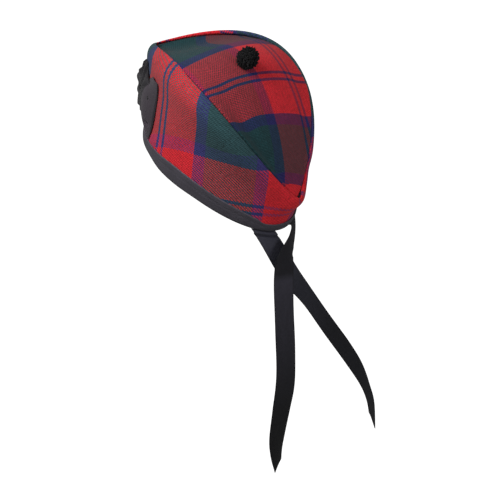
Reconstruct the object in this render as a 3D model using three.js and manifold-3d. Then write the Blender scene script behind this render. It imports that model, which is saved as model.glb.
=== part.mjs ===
// A worn glengarry in millimetres: tartan sides and leaf-shaped crown, ribbon band, two tails,
// a pompom (toorie) and a ribbon cockade. +Z is up, -Y is the front and +X is the wearer's left.
// The origin is the middle of the head opening. The cap tips back as it does on a head.
import * as THREE from 'three';
import { mergeVertices } from 'three/addons/utils/BufferGeometryUtils.js';
import Module from 'manifold-3d';

const wasm = await Module();
wasm.setup();

// Driving sizes of the cap, in its own level frame before it tips back
const HEAD_TILT = THREE.MathUtils.degToRad(24.7);
const CLOTH = 2;
const CROWN_DEPTH = 2.4;
const RIBBON = 1.2;
const GAP = 0.4;
const RIM_HALF_LENGTH = 104.5;
const RIM_HALF_WIDTH = 77;
const RIM_LIFT = 1.8;
const RIM_SIDE_LIFT = 5.5;
const RIM_FRONT_LIFT = 3.2;
const CROWN_FRONT = -140.7;
const CROWN_REAR = 105.6;
const CROWN_FRONT_HEIGHT = 91.7;
const CROWN_REAR_HEIGHT = 43.2;
const CROWN_RISE = 69.3;
const CROWN_HALF_WIDTH = 83.4;
const LEAF_POWER = 1.66;
const CROWN_EDGE_INSET = 2.4;
const CROWN_TIP_INSET = 3.4;
const CROWN_TIP_ANGLE = 0.14;
const BULGE_PEAK = 0.845;
const GROOVE_PLACE = 0.78;
const GROOVE_SPREAD = 0.16;

// Driving sizes of the trimmings
const BAND_TURN_UP = 8;
const TAIL_WIDTH = 25;
const TAIL_THICKNESS = 1;
const TAIL_DROP = 2.4;
const TAIL_HOLD = 40;
const TOORIE_PLACE = { along: 0.505, across: 0.205 };
const TOORIE_CORE_RADIUS = 10.4;
const TOORIE_CORE_DETAIL = 1;
const TOORIE_TUFT = { reach: 12.4, base: 2.8, tip: 3.5, sides: 5 };
const TOORIE_TUFTS = 30;
const TOORIE_STRETCH = 1.16;
const TOORIE_CENTRE_HEIGHT = 11;
const TAB_PUFF = 2.8;
const TAB_SPREAD = 0.49;
const ROSETTE_PLACE = { angle: 0.58, height: 64 };
const ROSETTE_ARC = 92;
const ROSETTE_TALL = 1.13;
const ROSETTE_PLEATS = 11;
const ROSETTE_PLEAT_DEPTH = 1;
const ROSETTE_PLEAT_SWING = 0.03;
const ROSETTE_LEAN = 3;
const ROSETTE_EYELET = 0.08;
const ROSETTE_KNOT = 4;

// How far each side swells beyond a straight wall, from the front (0) round to the rear (pi)
const SWELL_ROWS = [
  { angle: 0, swell: 11 },
  { angle: 0.8, swell: 7 },
  { angle: 1.6, swell: 12.5 },
  { angle: 2.4, swell: 5.5 },
  { angle: Math.PI, swell: 2 },
];

// How high the band stands on the cloth, narrow where the tails leave it at the back
const BAND_ROWS = [
  { angle: 0, height: 11.5 },
  { angle: 1, height: 12 },
  { angle: 1.5, height: 18.5 },
  { angle: 2.2, height: 17 },
  { angle: 2.55, height: 12.5 },
  { angle: 2.7, height: 8.5 },
  { angle: Math.PI, height: 9.5 },
];

// The crown over its edges, front (0) to rear (1): its dome, the grooves by its left and right seams,
// and how far its edge stands over the ridge of the sides
const CROWN_ROWS = [
  { along: 0, dome: -3, left: 0, right: 0, lift: -1.5 },
  { along: 0.12, dome: -11, left: 0, right: 0, lift: -1.5 },
  { along: 0.26, dome: 0, left: 0, right: 0, lift: -1.5 },
  { along: 0.38, dome: 12, left: 1, right: 0, lift: -1.5 },
  { along: 0.54, dome: 14, left: 4, right: 1, lift: -0.5 },
  { along: 0.72, dome: 7, left: 6, right: 2, lift: 0.5 },
  { along: 0.88, dome: 1, left: 4, right: 2, lift: 0.5 },
  { along: 1, dome: 0, left: 0, right: 0, lift: 0 },
];

// The cockade's tab from its point on the band to its slanting top: height on the side and edge angles
const TAB_ROWS = [
  { height: 13.5, front: 0.74, rear: 0.87 },
  { height: 29, front: 0.56, rear: 0.92 },
  { height: 48, front: 0.46, rear: 0.95 },
  { height: 64, front: 0.5, rear: 0.97 },
  { height: 74, front: 0.65, rear: 0.985 },
  { height: 83, front: 0.79, rear: 0.985 },
  { height: 88, front: 0.87, rear: 0.97 },
  { height: 90.5, front: 0.905, rear: 0.945 },
];

// The cockade's ruffles from the tab outwards: size, and how far each stands off at its middle and its edge
const ROSETTE_LAYERS = [
  { radius: 26.5, base: 0, stand: 0.6 },
  { radius: 24.5, base: 1.6, stand: 1.6 },
];

// The hanging tails, level with gravity: the middle of the ribbon and the way its face looks in degrees
// from +X. Its top lies under the band between two angles, its top and end are cut on the slant, and a
// slant is positive where the right edge is the shorter one
const TAILS = [
  {
    name: 'tail_left',
    root: { left: 2.55, right: 2.96 },
    topSlant: 23,
    endSlant: -38,
    rows: [
      { x: 32, y: 85, z: -39, face: 62 },
      { x: 23.5, y: 91.5, z: -57, face: 64 },
      { x: 4, y: 103.5, z: -99.5, face: 80 },
      { x: -13, y: 118.5, z: -134, face: 97 },
      { x: -38, y: 139.5, z: -185.5, face: 97 },
      { x: -64.5, y: 160, z: -239.5, face: 102 },
      { x: -73, y: 170.5, z: -272, face: 110 },
      { x: -77, y: 174.5, z: -294, face: 106 },
      { x: -77.5, y: 176.5, z: -332.5, face: 105 },
    ],
  },
  {
    name: 'tail_right',
    root: { left: 3.28, right: 3.73 },
    topSlant: -7,
    endSlant: 6,
    rows: [
      { x: -27, y: 88, z: -48.5, face: 112 },
      { x: -22, y: 94.5, z: -57.5, face: 114 },
      { x: -4, y: 102.5, z: -63.5, face: 104 },
      { x: 11, y: 109, z: -73, face: 84 },
      { x: 20, y: 110.5, z: -90, face: 67 },
      { x: 19.5, y: 111.5, z: -234, face: 59 },
      { x: 17.5, y: 104.5, z: -278.5, face: 63 },
      { x: 14.5, y: 96, z: -325.5, face: 77 },
      { x: 12.5, y: 94.5, z: -348.5, face: 92 },
      { x: 11.5, y: 96, z: -366.5, face: 107 },
    ],
  },
];

// Facet counts
const RING_STEPS = 76;
const SIDE_STEPS = 9;
const CROWN_STEPS = { along: 36, across: 14 };
const TAIL_STEPS = { along: 44, across: 2 };
const TAB_STEPS = { across: 8, up: 10 };
const ROSETTE_STEPS = { around: 44, out: 2 };
const SLOPE_STEP = 0.001;
const SIDEWAYS = new THREE.Vector3(1, 0, 0);

const MATERIALS = {
  tartan: { color: 0xa8323a, roughness: 0.9, metalness: 0 },
  ribbon: { color: 0x3a383e, roughness: 0.7, metalness: 0 },
  wool: { color: 0x111114, roughness: 1, metalness: 0 },
};

// Reads a column of a table at a place along it, running smoothly from row to row.
function readTable(rows, by, column, place) {
  const last = rows.length - 1;
  const held = THREE.MathUtils.clamp(place, rows[0][by], rows[last][by]);
  let row = 0;
  while (row < last - 1 && held > rows[row + 1][by]) row += 1;
  const from = rows[row];
  const to = rows[row + 1];
  const span = to[by] - from[by];
  const slopeAt = (index) => {
    const before = rows[Math.max(index - 1, 0)];
    const after = rows[Math.min(index + 1, last)];
    return (after[column] - before[column]) / (after[by] - before[by]);
  };
  const t = (held - from[by]) / span;
  const ease = t * t * (3 - 2 * t);
  const leave = t * (1 - t) * (1 - t) * span * slopeAt(row);
  const arrive = t * t * (t - 1) * span * slopeAt(row + 1);
  return from[column] + (to[column] - from[column]) * ease + leave + arrive;
}

// Folds any angle round the cap to the same distance from the front, 0 to pi.
function fromFront(angle) {
  return Math.acos(Math.cos(angle));
}

// A point of the rim: an ellipse whose sides stand a little higher than its ends, and its front than its rear.
function rimPoint(angle) {
  const toFront = (1 + Math.cos(angle)) / 2;
  return new THREE.Vector3(
    RIM_HALF_WIDTH * Math.sin(angle),
    -RIM_HALF_LENGTH * Math.cos(angle),
    RIM_LIFT - RIM_SIDE_LIFT * Math.cos(2 * angle) + RIM_FRONT_LIFT * toFront * toFront,
  );
}

// A point of the leaf-shaped seam between the sides and the crown, drawn in by an inset at edge and tips.
function seamPoint(angle, edgeInset = 0, tipInset = 0) {
  const along = (1 - Math.cos(angle)) / 2;
  const lean = Math.sin(angle);
  const front = CROWN_FRONT + tipInset;
  const rear = CROWN_REAR - tipInset;
  return new THREE.Vector3(
    (CROWN_HALF_WIDTH - edgeInset) * Math.sign(lean) * Math.abs(lean) ** LEAF_POWER,
    front + (rear - front) * along,
    CROWN_FRONT_HEIGHT * (1 - along) + CROWN_REAR_HEIGHT * along + CROWN_RISE * lean * lean,
  );
}

// A point of the sides' outer face: from the rim (0) to the seam (1), swelling outwards between them.
function sidePoint(angle, up) {
  const outward = new THREE.Vector3(
    RIM_HALF_LENGTH * Math.sin(angle),
    -RIM_HALF_WIDTH * Math.cos(angle),
    0,
  ).normalize();
  const peakPower = Math.log(0.5) / Math.log(BULGE_PEAK);
  const swell = readTable(SWELL_ROWS, 'angle', 'swell', fromFront(angle));
  const bulge = swell * Math.sin(Math.PI * Math.max(up, 0) ** peakPower);
  return rimPoint(angle).lerp(seamPoint(angle), up).addScaledVector(outward, bulge);
}

// The straight height of a side from rim to seam.
function sideHeight(angle) {
  return rimPoint(angle).distanceTo(seamPoint(angle));
}

// The outward normal of a surface of two parameters, from its slopes.
function surfaceNormal(surface, u, v) {
  const alongU = surface(u + SLOPE_STEP, v).sub(surface(u - SLOPE_STEP, v));
  const alongV = surface(u, v + SLOPE_STEP).sub(surface(u, v - SLOPE_STEP));
  return alongU.cross(alongV).normalize();
}

// A point standing off the sides by an offset, at a height in millimetres over the rim.
function overSide(angle, height, offset) {
  const up = Math.max(height, 0) / sideHeight(angle);
  const drop = Math.min(height, 0);
  const point = sidePoint(angle, up);
  point.z += drop;
  return point.addScaledVector(surfaceNormal(sidePoint, angle, Math.max(up, SLOPE_STEP)), offset);
}

// A point of the crown's top face: from front (0) to rear (pi), from the left seam (1) to the right (-1).
function crownPoint(angle, across) {
  const along = (1 - Math.cos(angle)) / 2;
  const column = (name) => readTable(CROWN_ROWS, 'along', name, along);
  const edge = seamPoint(angle, CROWN_EDGE_INSET, CROWN_TIP_INSET);
  const side = across > 0 ? 'left' : 'right';
  const groove = Math.exp(-(((Math.abs(across) - GROOVE_PLACE) / GROOVE_SPREAD) ** 2));
  const dome = column('dome') * (1 - across * across);
  const height = edge.z + column('lift') + dome - column(side) * groove;
  return new THREE.Vector3(edge.x * across, edge.y, height);
}

// A closed solid between an outer and an inner grid of points, closed on itself in u where it is a ring.
function solidBetween(outer, inner, uSteps, vSteps, ring) {
  const columns = ring ? uSteps : uSteps + 1;
  const rows = vSteps + 1;
  const positions = [];
  const faces = [];
  for (const skin of [outer, inner]) {
    for (let i = 0; i < columns; i += 1) {
      for (let j = 0; j < rows; j += 1) {
        const point = skin(i / uSteps, j / vSteps);
        positions.push(point.x, point.y, point.z);
      }
    }
  }
  const out = (i, j) => (i % columns) * rows + j;
  const into = (i, j) => columns * rows + out(i, j);
  const quad = (a, b, c, d) => faces.push(a, b, c, a, c, d);
  for (let i = 0; i < uSteps; i += 1) {
    for (let j = 0; j < vSteps; j += 1) {
      quad(out(i, j), out(i + 1, j), out(i + 1, j + 1), out(i, j + 1));
      quad(into(i, j), into(i, j + 1), into(i + 1, j + 1), into(i + 1, j));
    }
    quad(out(i, 0), into(i, 0), into(i + 1, 0), out(i + 1, 0));
    quad(out(i, vSteps), out(i + 1, vSteps), into(i + 1, vSteps), into(i, vSteps));
  }
  if (!ring) {
    for (let j = 0; j < vSteps; j += 1) {
      quad(out(0, j), out(0, j + 1), into(0, j + 1), into(0, j));
      quad(out(uSteps, j), into(uSteps, j), into(uSteps, j + 1), out(uSteps, j + 1));
    }
  }
  const geometry = new THREE.BufferGeometry();
  geometry.setAttribute('position', new THREE.Float32BufferAttribute(positions, 3));
  geometry.setIndex(faces);
  return geometry;
}

// Turns a closed geometry into a solid that can be joined or cut.
function toSolid(geometry) {
  const bare = geometry.clone();
  bare.deleteAttribute('normal');
  bare.deleteAttribute('uv');
  const merged = mergeVertices(bare);
  const vertProperties = new Float32Array(merged.attributes.position.array);
  const triVerts = new Uint32Array(merged.index.array);
  return new wasm.Manifold(new wasm.Mesh({ numProp: 3, vertProperties, triVerts }));
}

// Turns a solid back into a geometry.
function toGeometry(solid) {
  const mesh = solid.getMesh();
  const geometry = new THREE.BufferGeometry();
  geometry.setAttribute('position', new THREE.BufferAttribute(mesh.vertProperties, mesh.numProp));
  geometry.setIndex(new THREE.BufferAttribute(mesh.triVerts, 1));
  return geometry;
}

// A named mesh with a material of its own.
function piece(name, geometry, finish) {
  geometry.computeVertexNormals();
  const mesh = new THREE.Mesh(geometry, new THREE.MeshStandardMaterial(MATERIALS[finish]));
  mesh.name = name;
  return mesh;
}

// The two tartan sides: one wall round the head, parted at the middle of the front and of the back.
// Its rows lie closer towards the rolled ridge at the top.
function makeSides() {
  const skin = (offset) => (u, v) => {
    const angle = 2 * Math.PI * u;
    const up = Math.sin((v * Math.PI) / 2);
    const point = sidePoint(angle, up);
    return point.addScaledVector(surfaceNormal(sidePoint, angle, Math.max(up, SLOPE_STEP)), offset);
  };
  const wall = toSolid(solidBetween(skin(0), skin(-CLOTH), RING_STEPS, SIDE_STEPS, true));
  const reach = 4 * RIM_HALF_LENGTH;
  const half = (name, way) => {
    const block = new THREE.BoxGeometry(reach, reach, reach);
    block.translate(way * (reach / 2 + GAP / 2), 0, 0);
    return piece(name, toGeometry(wall.intersect(toSolid(block))), 'tartan');
  };
  return [half('side_left', 1), half('side_right', -1)];
}

// The leaf-shaped tartan crown inside the ridge of the sides.
function makeCrown() {
  const angleAt = (u) => CROWN_TIP_ANGLE + (Math.PI - 2 * CROWN_TIP_ANGLE) * u;
  const top = (u, v) => crownPoint(angleAt(u), 1 - 2 * v);
  const under = (u, v) => top(u, v).sub(new THREE.Vector3(0, 0, CROWN_DEPTH));
  return piece('crown', solidBetween(top, under, CROWN_STEPS.along, CROWN_STEPS.across, false), 'tartan');
}

// The ribbon band folded over the rim: down the inside, under the edge and up the outside.
function makeBand() {
  const near = GAP;
  const far = GAP + RIBBON;
  const inNear = -CLOTH - near;
  const inFar = -CLOTH - far;
  const middle = -CLOTH / 2;
  const fold = [
    { part: 'inside', outer: { offset: inFar, level: 1 }, inner: { offset: inNear, level: 1 } },
    { part: 'under', outer: { offset: inFar, level: -near }, inner: { offset: inNear, level: -near } },
    { part: 'under', outer: { offset: middle, level: -far }, inner: { offset: middle, level: -near } },
    { part: 'under', outer: { offset: far, level: -near }, inner: { offset: near, level: -near } },
    { part: 'outside', outer: { offset: far, level: 0.5 }, inner: { offset: near, level: 0.5 } },
    { part: 'outside', outer: { offset: far, level: 1 }, inner: { offset: near, level: 1 } },
  ];
  const heights = {
    inside: () => BAND_TURN_UP,
    under: () => 1,
    outside: (angle) => readTable(BAND_ROWS, 'angle', 'height', fromFront(angle)),
  };
  const skin = (face) => (u, v) => {
    const angle = 2 * Math.PI * u;
    const row = fold[Math.round(v * (fold.length - 1))];
    return overSide(angle, row[face].level * heights[row.part](angle), row[face].offset);
  };
  return piece('band', solidBetween(skin('outer'), skin('inner'), RING_STEPS, fold.length - 1, true), 'ribbon');
}

// One hanging tail: a ribbon along a smooth path, with its top and its end cut on the slant.
function makeTail({ name, root, topSlant, endSlant, rows }) {
  const path = new THREE.CatmullRomCurve3(rows.map((row) => new THREE.Vector3(row.x, row.y, row.z)));
  const length = path.getLength();
  const faces = rows.map((row, index) => ({ index, face: row.face }));
  const shortening = (slant, across) => Math.abs(slant) / 2 + slant * across;
  const placeAt = (distance, across, offset) => {
    const run = path.getUtoTmapping(distance / length);
    const face = THREE.MathUtils.degToRad(readTable(faces, 'index', 'face', run * (rows.length - 1)));
    const down = path.getTangent(run);
    const looks = new THREE.Vector3(Math.cos(face), Math.sin(face), 0);
    const breadth = looks.cross(down).normalize();
    const normal = down.clone().cross(breadth);
    return path.getPoint(run).addScaledVector(breadth, across * TAIL_WIDTH).addScaledVector(normal, offset);
  };
  const skin = (offset) => (u, v) => {
    const across = v - 0.5;
    const start = shortening(topSlant, across);
    const end = length - shortening(endSlant, across);
    const distance = (end - start) * u;
    const underBand = overSide(root.left + (root.right - root.left) * v, -TAIL_DROP, -CLOTH / 2);
    underBand.applyAxisAngle(SIDEWAYS, -HEAD_TILT);
    const pull = underBand.sub(placeAt(start, across, 0));
    const hold = Math.max(1 - distance / TAIL_HOLD, 0) ** 2;
    return placeAt(start + distance, across, offset).addScaledVector(pull, hold);
  };
  const half = TAIL_THICKNESS / 2;
  const solid = solidBetween(skin(half), skin(-half), TAIL_STEPS.along, TAIL_STEPS.across, false);
  return piece(name, solid, 'ribbon');
}

// The pompom: blunt tufts of wool fused to a round core, cut flat where it sits on the crown.
function makeToorie() {
  const core = new THREE.IcosahedronGeometry(TOORIE_CORE_RADIUS, TOORIE_CORE_DETAIL);
  let ball = toSolid(core);
  const goldenTurn = Math.PI * (3 - Math.sqrt(5));
  const upward = new THREE.Vector3(0, 0, 1);
  for (let index = 0; index < TOORIE_TUFTS; index += 1) {
    const height = 1 - (2 * (index + 0.5)) / TOORIE_TUFTS;
    const ring = Math.sqrt(1 - height * height);
    const turn = goldenTurn * index;
    const way = new THREE.Vector3(ring * Math.cos(turn), ring * Math.sin(turn), height);
    const { reach, base, tip, sides } = TOORIE_TUFT;
    const tuft = new THREE.CylinderGeometry(tip, base, reach, sides);
    tuft.rotateX(Math.PI / 2);
    tuft.translate(0, 0, reach / 2);
    tuft.applyQuaternion(new THREE.Quaternion().setFromUnitVectors(upward, way));
    ball = ball.add(toSolid(tuft));
  }
  const block = 4 * TOORIE_TUFT.reach;
  const above = new THREE.BoxGeometry(block, block, block);
  above.translate(0, 0, block / 2 - TOORIE_CENTRE_HEIGHT / TOORIE_STRETCH);
  const geometry = toGeometry(ball.intersect(toSolid(above)));
  geometry.scale(1, 1, TOORIE_STRETCH);
  const toorie = piece('toorie', geometry, 'wool');
  const angle = Math.acos(1 - 2 * TOORIE_PLACE.along);
  const surface = (place, side) => crownPoint(place, -side);
  const normal = surfaceNormal(surface, angle, -TOORIE_PLACE.across);
  toorie.quaternion.setFromUnitVectors(upward, normal);
  toorie.position.copy(crownPoint(angle, TOORIE_PLACE.across));
  toorie.position.addScaledVector(normal, TOORIE_CENTRE_HEIGHT + GAP);
  return toorie;
}

// The cockade's tab: a flap of ribbon that lies on the left side and puffs out in its middle.
function makeCockadeTab() {
  const lowest = TAB_ROWS[0].height;
  const highest = TAB_ROWS[TAB_ROWS.length - 1].height;
  const skin = (offset) => (u, v) => {
    const height = lowest + (highest - lowest) * v;
    const front = readTable(TAB_ROWS, 'height', 'front', height);
    const rear = readTable(TAB_ROWS, 'height', 'rear', height);
    const puff = (TAB_PUFF * Math.sin(Math.PI * u) * (rear - front)) / TAB_SPREAD;
    return overSide(front + (rear - front) * u, height, offset + puff);
  };
  const solid = solidBetween(skin(GAP + RIBBON), skin(GAP), TAB_STEPS.across, TAB_STEPS.up, false);
  return piece('cockade_tab', solid, 'ribbon');
}

// The cockade's rosette: two gathered rounds of ribbon joined by a knot. Each follows the side it lies on,
// its pleats deepen towards its edge, and it leans in at the top.
function makeCockadeRosette() {
  const { angle, height } = ROSETTE_PLACE;
  const seat = 3 * GAP + RIBBON + TAB_PUFF;
  const skin = (layer, level) => (u, v) => {
    const turn = 2 * Math.PI * u;
    const out = 1 - v * (1 - ROSETTE_EYELET);
    const pleat = Math.cos(ROSETTE_PLEATS * turn);
    const radius = layer.radius * out * (1 + ROSETTE_PLEAT_SWING * pleat * out);
    const ruffle = ROSETTE_PLEAT_DEPTH * (1 + pleat) * out;
    const lean = ROSETTE_LEAN * Math.sin(turn) * out;
    const stand = layer.base + layer.stand * out * out + ruffle - lean;
    return overSide(
      angle + (radius * Math.cos(turn)) / ROSETTE_ARC,
      height + radius * Math.sin(turn) * ROSETTE_TALL,
      seat + stand + level,
    );
  };
  const { around, out } = ROSETTE_STEPS;
  const ruffles = ROSETTE_LAYERS.map((layer) =>
    toSolid(solidBetween(skin(layer, RIBBON), skin(layer, 0), around, out, true)),
  );
  const depth = ROSETTE_LAYERS[1].base + 2 * RIBBON;
  const knot = new THREE.CylinderGeometry(ROSETTE_KNOT, ROSETTE_KNOT, depth, ROSETTE_PLEATS);
  const normal = surfaceNormal(sidePoint, angle, height / sideHeight(angle));
  knot.applyQuaternion(new THREE.Quaternion().setFromUnitVectors(new THREE.Vector3(0, 1, 0), normal));
  const middle = overSide(angle, height, seat + depth / 2);
  knot.translate(middle.x, middle.y, middle.z);
  const joined = ruffles.reduce((whole, ruffle) => whole.add(ruffle), toSolid(knot));
  return piece('cockade_rosette', toGeometry(joined), 'ribbon');
}

const cap = new THREE.Group();
cap.add(...makeSides(), makeCrown(), makeBand(), makeToorie(), makeCockadeTab(), makeCockadeRosette());
cap.rotation.x = -HEAD_TILT;

const glengarry = new THREE.Group();
glengarry.add(cap, ...TAILS.map(makeTail));

export default glengarry;
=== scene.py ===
"""Dresses a worn glengarry: tartan sides and crown, ribbon band and tails, a toorie and a cockade.

Sizes are in millimetres in the cap's own level frame, before it tips back on the head, unless a name
says otherwise. Meshes are turned into the row's frame, in metres, as they are made.
"""

import logging
import math
from dataclasses import dataclass, field
from enum import Enum
from typing import ClassVar

import bpy
import numpy as np
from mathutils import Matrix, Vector


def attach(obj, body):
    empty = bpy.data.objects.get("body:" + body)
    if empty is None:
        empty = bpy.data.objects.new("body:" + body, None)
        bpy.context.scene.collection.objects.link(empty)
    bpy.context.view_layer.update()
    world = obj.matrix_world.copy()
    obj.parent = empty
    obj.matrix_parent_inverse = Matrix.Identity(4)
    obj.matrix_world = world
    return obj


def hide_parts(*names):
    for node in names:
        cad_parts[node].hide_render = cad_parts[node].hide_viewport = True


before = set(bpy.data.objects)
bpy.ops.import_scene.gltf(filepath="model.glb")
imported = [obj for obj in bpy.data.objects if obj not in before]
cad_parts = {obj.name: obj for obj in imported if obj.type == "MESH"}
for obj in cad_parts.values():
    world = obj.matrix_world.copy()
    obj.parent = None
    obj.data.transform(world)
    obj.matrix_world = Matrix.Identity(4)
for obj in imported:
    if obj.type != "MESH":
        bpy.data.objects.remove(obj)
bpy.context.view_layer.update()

LOG = logging.getLogger("glengarry")
Array = np.ndarray
Socket = bpy.types.NodeSocket
BODY = "root"
CLOTH_MAP = "cloth"
WEAVE_MAP = "weave"
METRES = 0.001
SLOPE_STEP = 0.001
LEAST_LENGTH = 1e-9
FINE_STEPS = 721
MIDDLE = 0.5
GOLDEN_ANGLE = math.pi * (3 - math.sqrt(5))
WHITE = (1, 1, 1, 1)
BLACK = (0, 0, 0, 1)


class Flank(Enum):
    """The two sides of the cap, with the sign of their X."""

    LEFT = 1
    RIGHT = -1


class Hold(Enum):
    """How a sheet of cloth is held."""

    STRETCHED = "stretched"
    FOLDED = "folded"
    HUNG = "hung"
    LAID = "laid"
    GATHERED = "gathered"


def unit(vectors: Array) -> Array:
    """Scales vectors to length 1.

    Args:
        vectors: Vectors along the last axis.

    Returns:
        The same directions with length 1.
    """
    return vectors / np.maximum(np.linalg.norm(vectors, axis=-1, keepdims=True), LEAST_LENGTH)


def bell(distance: Array, spread: float) -> Array:
    """A smooth hump of height 1: exp(-(distance / spread) squared)."""
    return np.exp(-((distance / spread) ** 2))


def eased(places: Array, start: float, end: float) -> Array:
    """Runs smoothly from 0 at start to 1 at end: 3 t^2 - 2 t^3."""
    t = np.clip((places - start) / (end - start), 0, 1)
    return t * t * (3 - 2 * t)


def to_rear(angle: Array) -> Array:
    """The share of the way from the front to the rear at an angle from the front: (1 - cos) / 2."""
    return (1 - np.cos(angle)) / 2


def crowded_ends(count: int) -> Array:
    """A row of places from 0 to 1 that crowd towards both ends: (1 - cos(pi k)) / 2."""
    return to_rear(np.linspace(0, math.pi, count))[None, :]


def ring_turns(count: int) -> Array:
    """A column of even angles round a circle, in radians."""
    return np.linspace(0, 2 * math.pi, count, endpoint=False)[:, None]


def linear(red: int, green: int, blue: int) -> tuple[float, float, float, float]:
    """Turns a screen colour into the light it stands for, by the screen's straight foot and power curve.

    Args:
        red: Red from 0 to 255.
        green: Green from 0 to 255.
        blue: Blue from 0 to 255.

    Returns:
        Linear red, green and blue, and an alpha of 1.
    """
    most, knee, foot, lift, power = 255, 0.04045, 12.92, 0.055, 2.4
    part = np.array([red, green, blue]) / most
    light = np.where(part <= knee, part / foot, ((part + lift) / (1 + lift)) ** power)
    return (*light.tolist(), 1.0)


@dataclass(frozen=True)
class Curve:
    """A size that changes along a piece: its values at stated places.

    Between two places it is a cubic, and its slope at a place is the one from the neighbour before to
    the neighbour after.
    """

    at: tuple[float, ...]
    value: tuple[float, ...]

    def __call__(self, place: Array) -> Array:
        """Reads the size.

        Args:
            place: Where to read it, held between the first and the last place.

        Returns:
            The size at each place.
        """
        at = np.asarray(self.at, float)
        value = np.asarray(self.value, float)
        last = len(at) - 1
        held = np.clip(place, at[0], at[last])
        row = np.searchsorted(at[1:last], held)
        before = np.maximum(np.arange(last + 1) - 1, 0)
        after = np.minimum(np.arange(last + 1) + 1, last)
        slope = (value[after] - value[before]) / (at[after] - at[before])
        span = at[row + 1] - at[row]
        t = (held - at[row]) / span
        ease = t * t * (3 - 2 * t)
        leave = t * (1 - t) ** 2 * span * slope[row]
        arrive = t * t * (t - 1) * span * slope[row + 1]
        return value[row] + (value[row + 1] - value[row]) * ease + leave + arrive


@dataclass(frozen=True)
class CapForm:
    """The cap's form in its level frame: -Y is the front, +X the wearer's left, 0 the front's angle."""

    head_tilt: float = math.radians(24.7)
    cloth: float = 2.0
    ribbon: float = 1.2
    gap: float = 0.4
    rim_half_length: float = 104.5
    rim_half_width: float = 77.0
    rim_lift: float = 1.8
    rim_side_lift: float = 5.5
    rim_front_lift: float = 3.2
    crown_front: float = -140.7
    crown_rear: float = 105.6
    crown_front_height: float = 91.7
    crown_rear_height: float = 43.2
    crown_rise: float = 69.3
    crown_half_width: float = 83.4
    leaf_power: float = 1.66
    bulge_peak: float = 0.845
    swell: Curve = Curve((0, 0.8, 1.6, 2.4, math.pi), (11, 7, 12.5, 5.5, 2))

    def rim(self, angle: Array) -> Array:
        """The rim: an ellipse whose sides stand higher than its ends, and its front than its rear.

        Args:
            angle: Angle from the front, in radians.

        Returns:
            Points along the last axis.
        """
        to_front = (1 + np.cos(angle)) / 2
        side_lift = self.rim_lift - self.rim_side_lift * np.cos(2 * angle)
        height = side_lift + self.rim_front_lift * to_front**2
        across = self.rim_half_width * np.sin(angle)
        return np.stack([across, -self.rim_half_length * np.cos(angle), height], -1)

    def seam(self, angle: Array, edge_inset: Array | float = 0.0, tip_inset: float = 0.0) -> Array:
        """The leaf-shaped seam of sides and crown: half width times |sin| to a power, on an arched line.

        Args:
            angle: Angle from the front, in radians.
            edge_inset: How far the edges are drawn in.
            tip_inset: How far the two tips are drawn in.

        Returns:
            Points along the last axis.
        """
        along = to_rear(angle)
        lean = np.sin(angle)
        front = self.crown_front + tip_inset
        rear = self.crown_rear - tip_inset
        across = (self.crown_half_width - edge_inset) * np.sign(lean) * np.abs(lean) ** self.leaf_power
        level = self.crown_front_height * (1 - along) + self.crown_rear_height * along
        return np.stack([across, front + (rear - front) * along, level + self.crown_rise * lean**2], -1)

    def side(self, angle: Array, up: Array) -> Array:
        """The sides' outer face: a straight line from rim (0) to seam (1), swelling outwards between.

        Args:
            angle: Angle from the front, in radians.
            up: Share of the way from the rim to the seam.

        Returns:
            Points along the last axis.
        """
        angle, up = np.broadcast_arrays(angle, up)
        flat = np.zeros_like(angle, dtype=float)
        ahead = -self.rim_half_width * np.cos(angle)
        outward = unit(np.stack([self.rim_half_length * np.sin(angle), ahead, flat], -1))
        peak_power = math.log(MIDDLE) / math.log(self.bulge_peak)
        from_front = np.arccos(np.cos(angle))
        bulge = self.swell(from_front) * np.sin(math.pi * np.maximum(up, 0) ** peak_power)
        rim = self.rim(angle)
        return rim + (self.seam(angle) - rim) * up[..., None] + outward * bulge[..., None]

    def side_height(self, angle: Array) -> Array:
        """The straight height of a side from rim to seam."""
        return np.linalg.norm(self.seam(angle) - self.rim(angle), axis=-1)

    def side_normal(self, angle: Array, up: Array) -> Array:
        """The sides' outward normal: the cross product of their slopes.

        Args:
            angle: Angle from the front, in radians.
            up: Share of the way from the rim to the seam.

        Returns:
            Unit vectors along the last axis.
        """
        held = np.maximum(up, SLOPE_STEP)
        along = self.side(angle + SLOPE_STEP, held) - self.side(angle - SLOPE_STEP, held)
        rising = self.side(angle, held + SLOPE_STEP) - self.side(angle, held - SLOPE_STEP)
        return unit(np.cross(along, rising))

    def over_side(self, angle: Array, height: Array, offset: Array) -> Array:
        """A point that stands off the sides, or hangs straight below the rim at a height under 0.

        Args:
            angle: Angle from the front, in radians.
            height: Height over the rim along the side.
            offset: How far it stands off.

        Returns:
            Points along the last axis.
        """
        angle, height, offset = np.broadcast_arrays(angle, height, offset)
        up = np.maximum(height, 0) / self.side_height(angle)
        points = self.side(angle, up) + self.side_normal(angle, up) * offset[..., None]
        points[..., 2] += np.minimum(height, 0)
        return points

    def tip_back(self, points: Array) -> Array:
        """Tips the level cap back on the head, about the X axis.

        Args:
            points: Points in the level frame.

        Returns:
            Points in the row's frame, still in millimetres.
        """
        cos, sin = math.cos(self.head_tilt), math.sin(self.head_tilt)
        rear = points[..., 1] * cos + points[..., 2] * sin
        height = points[..., 2] * cos - points[..., 1] * sin
        return np.stack([points[..., 0], rear, height], -1)


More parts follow.
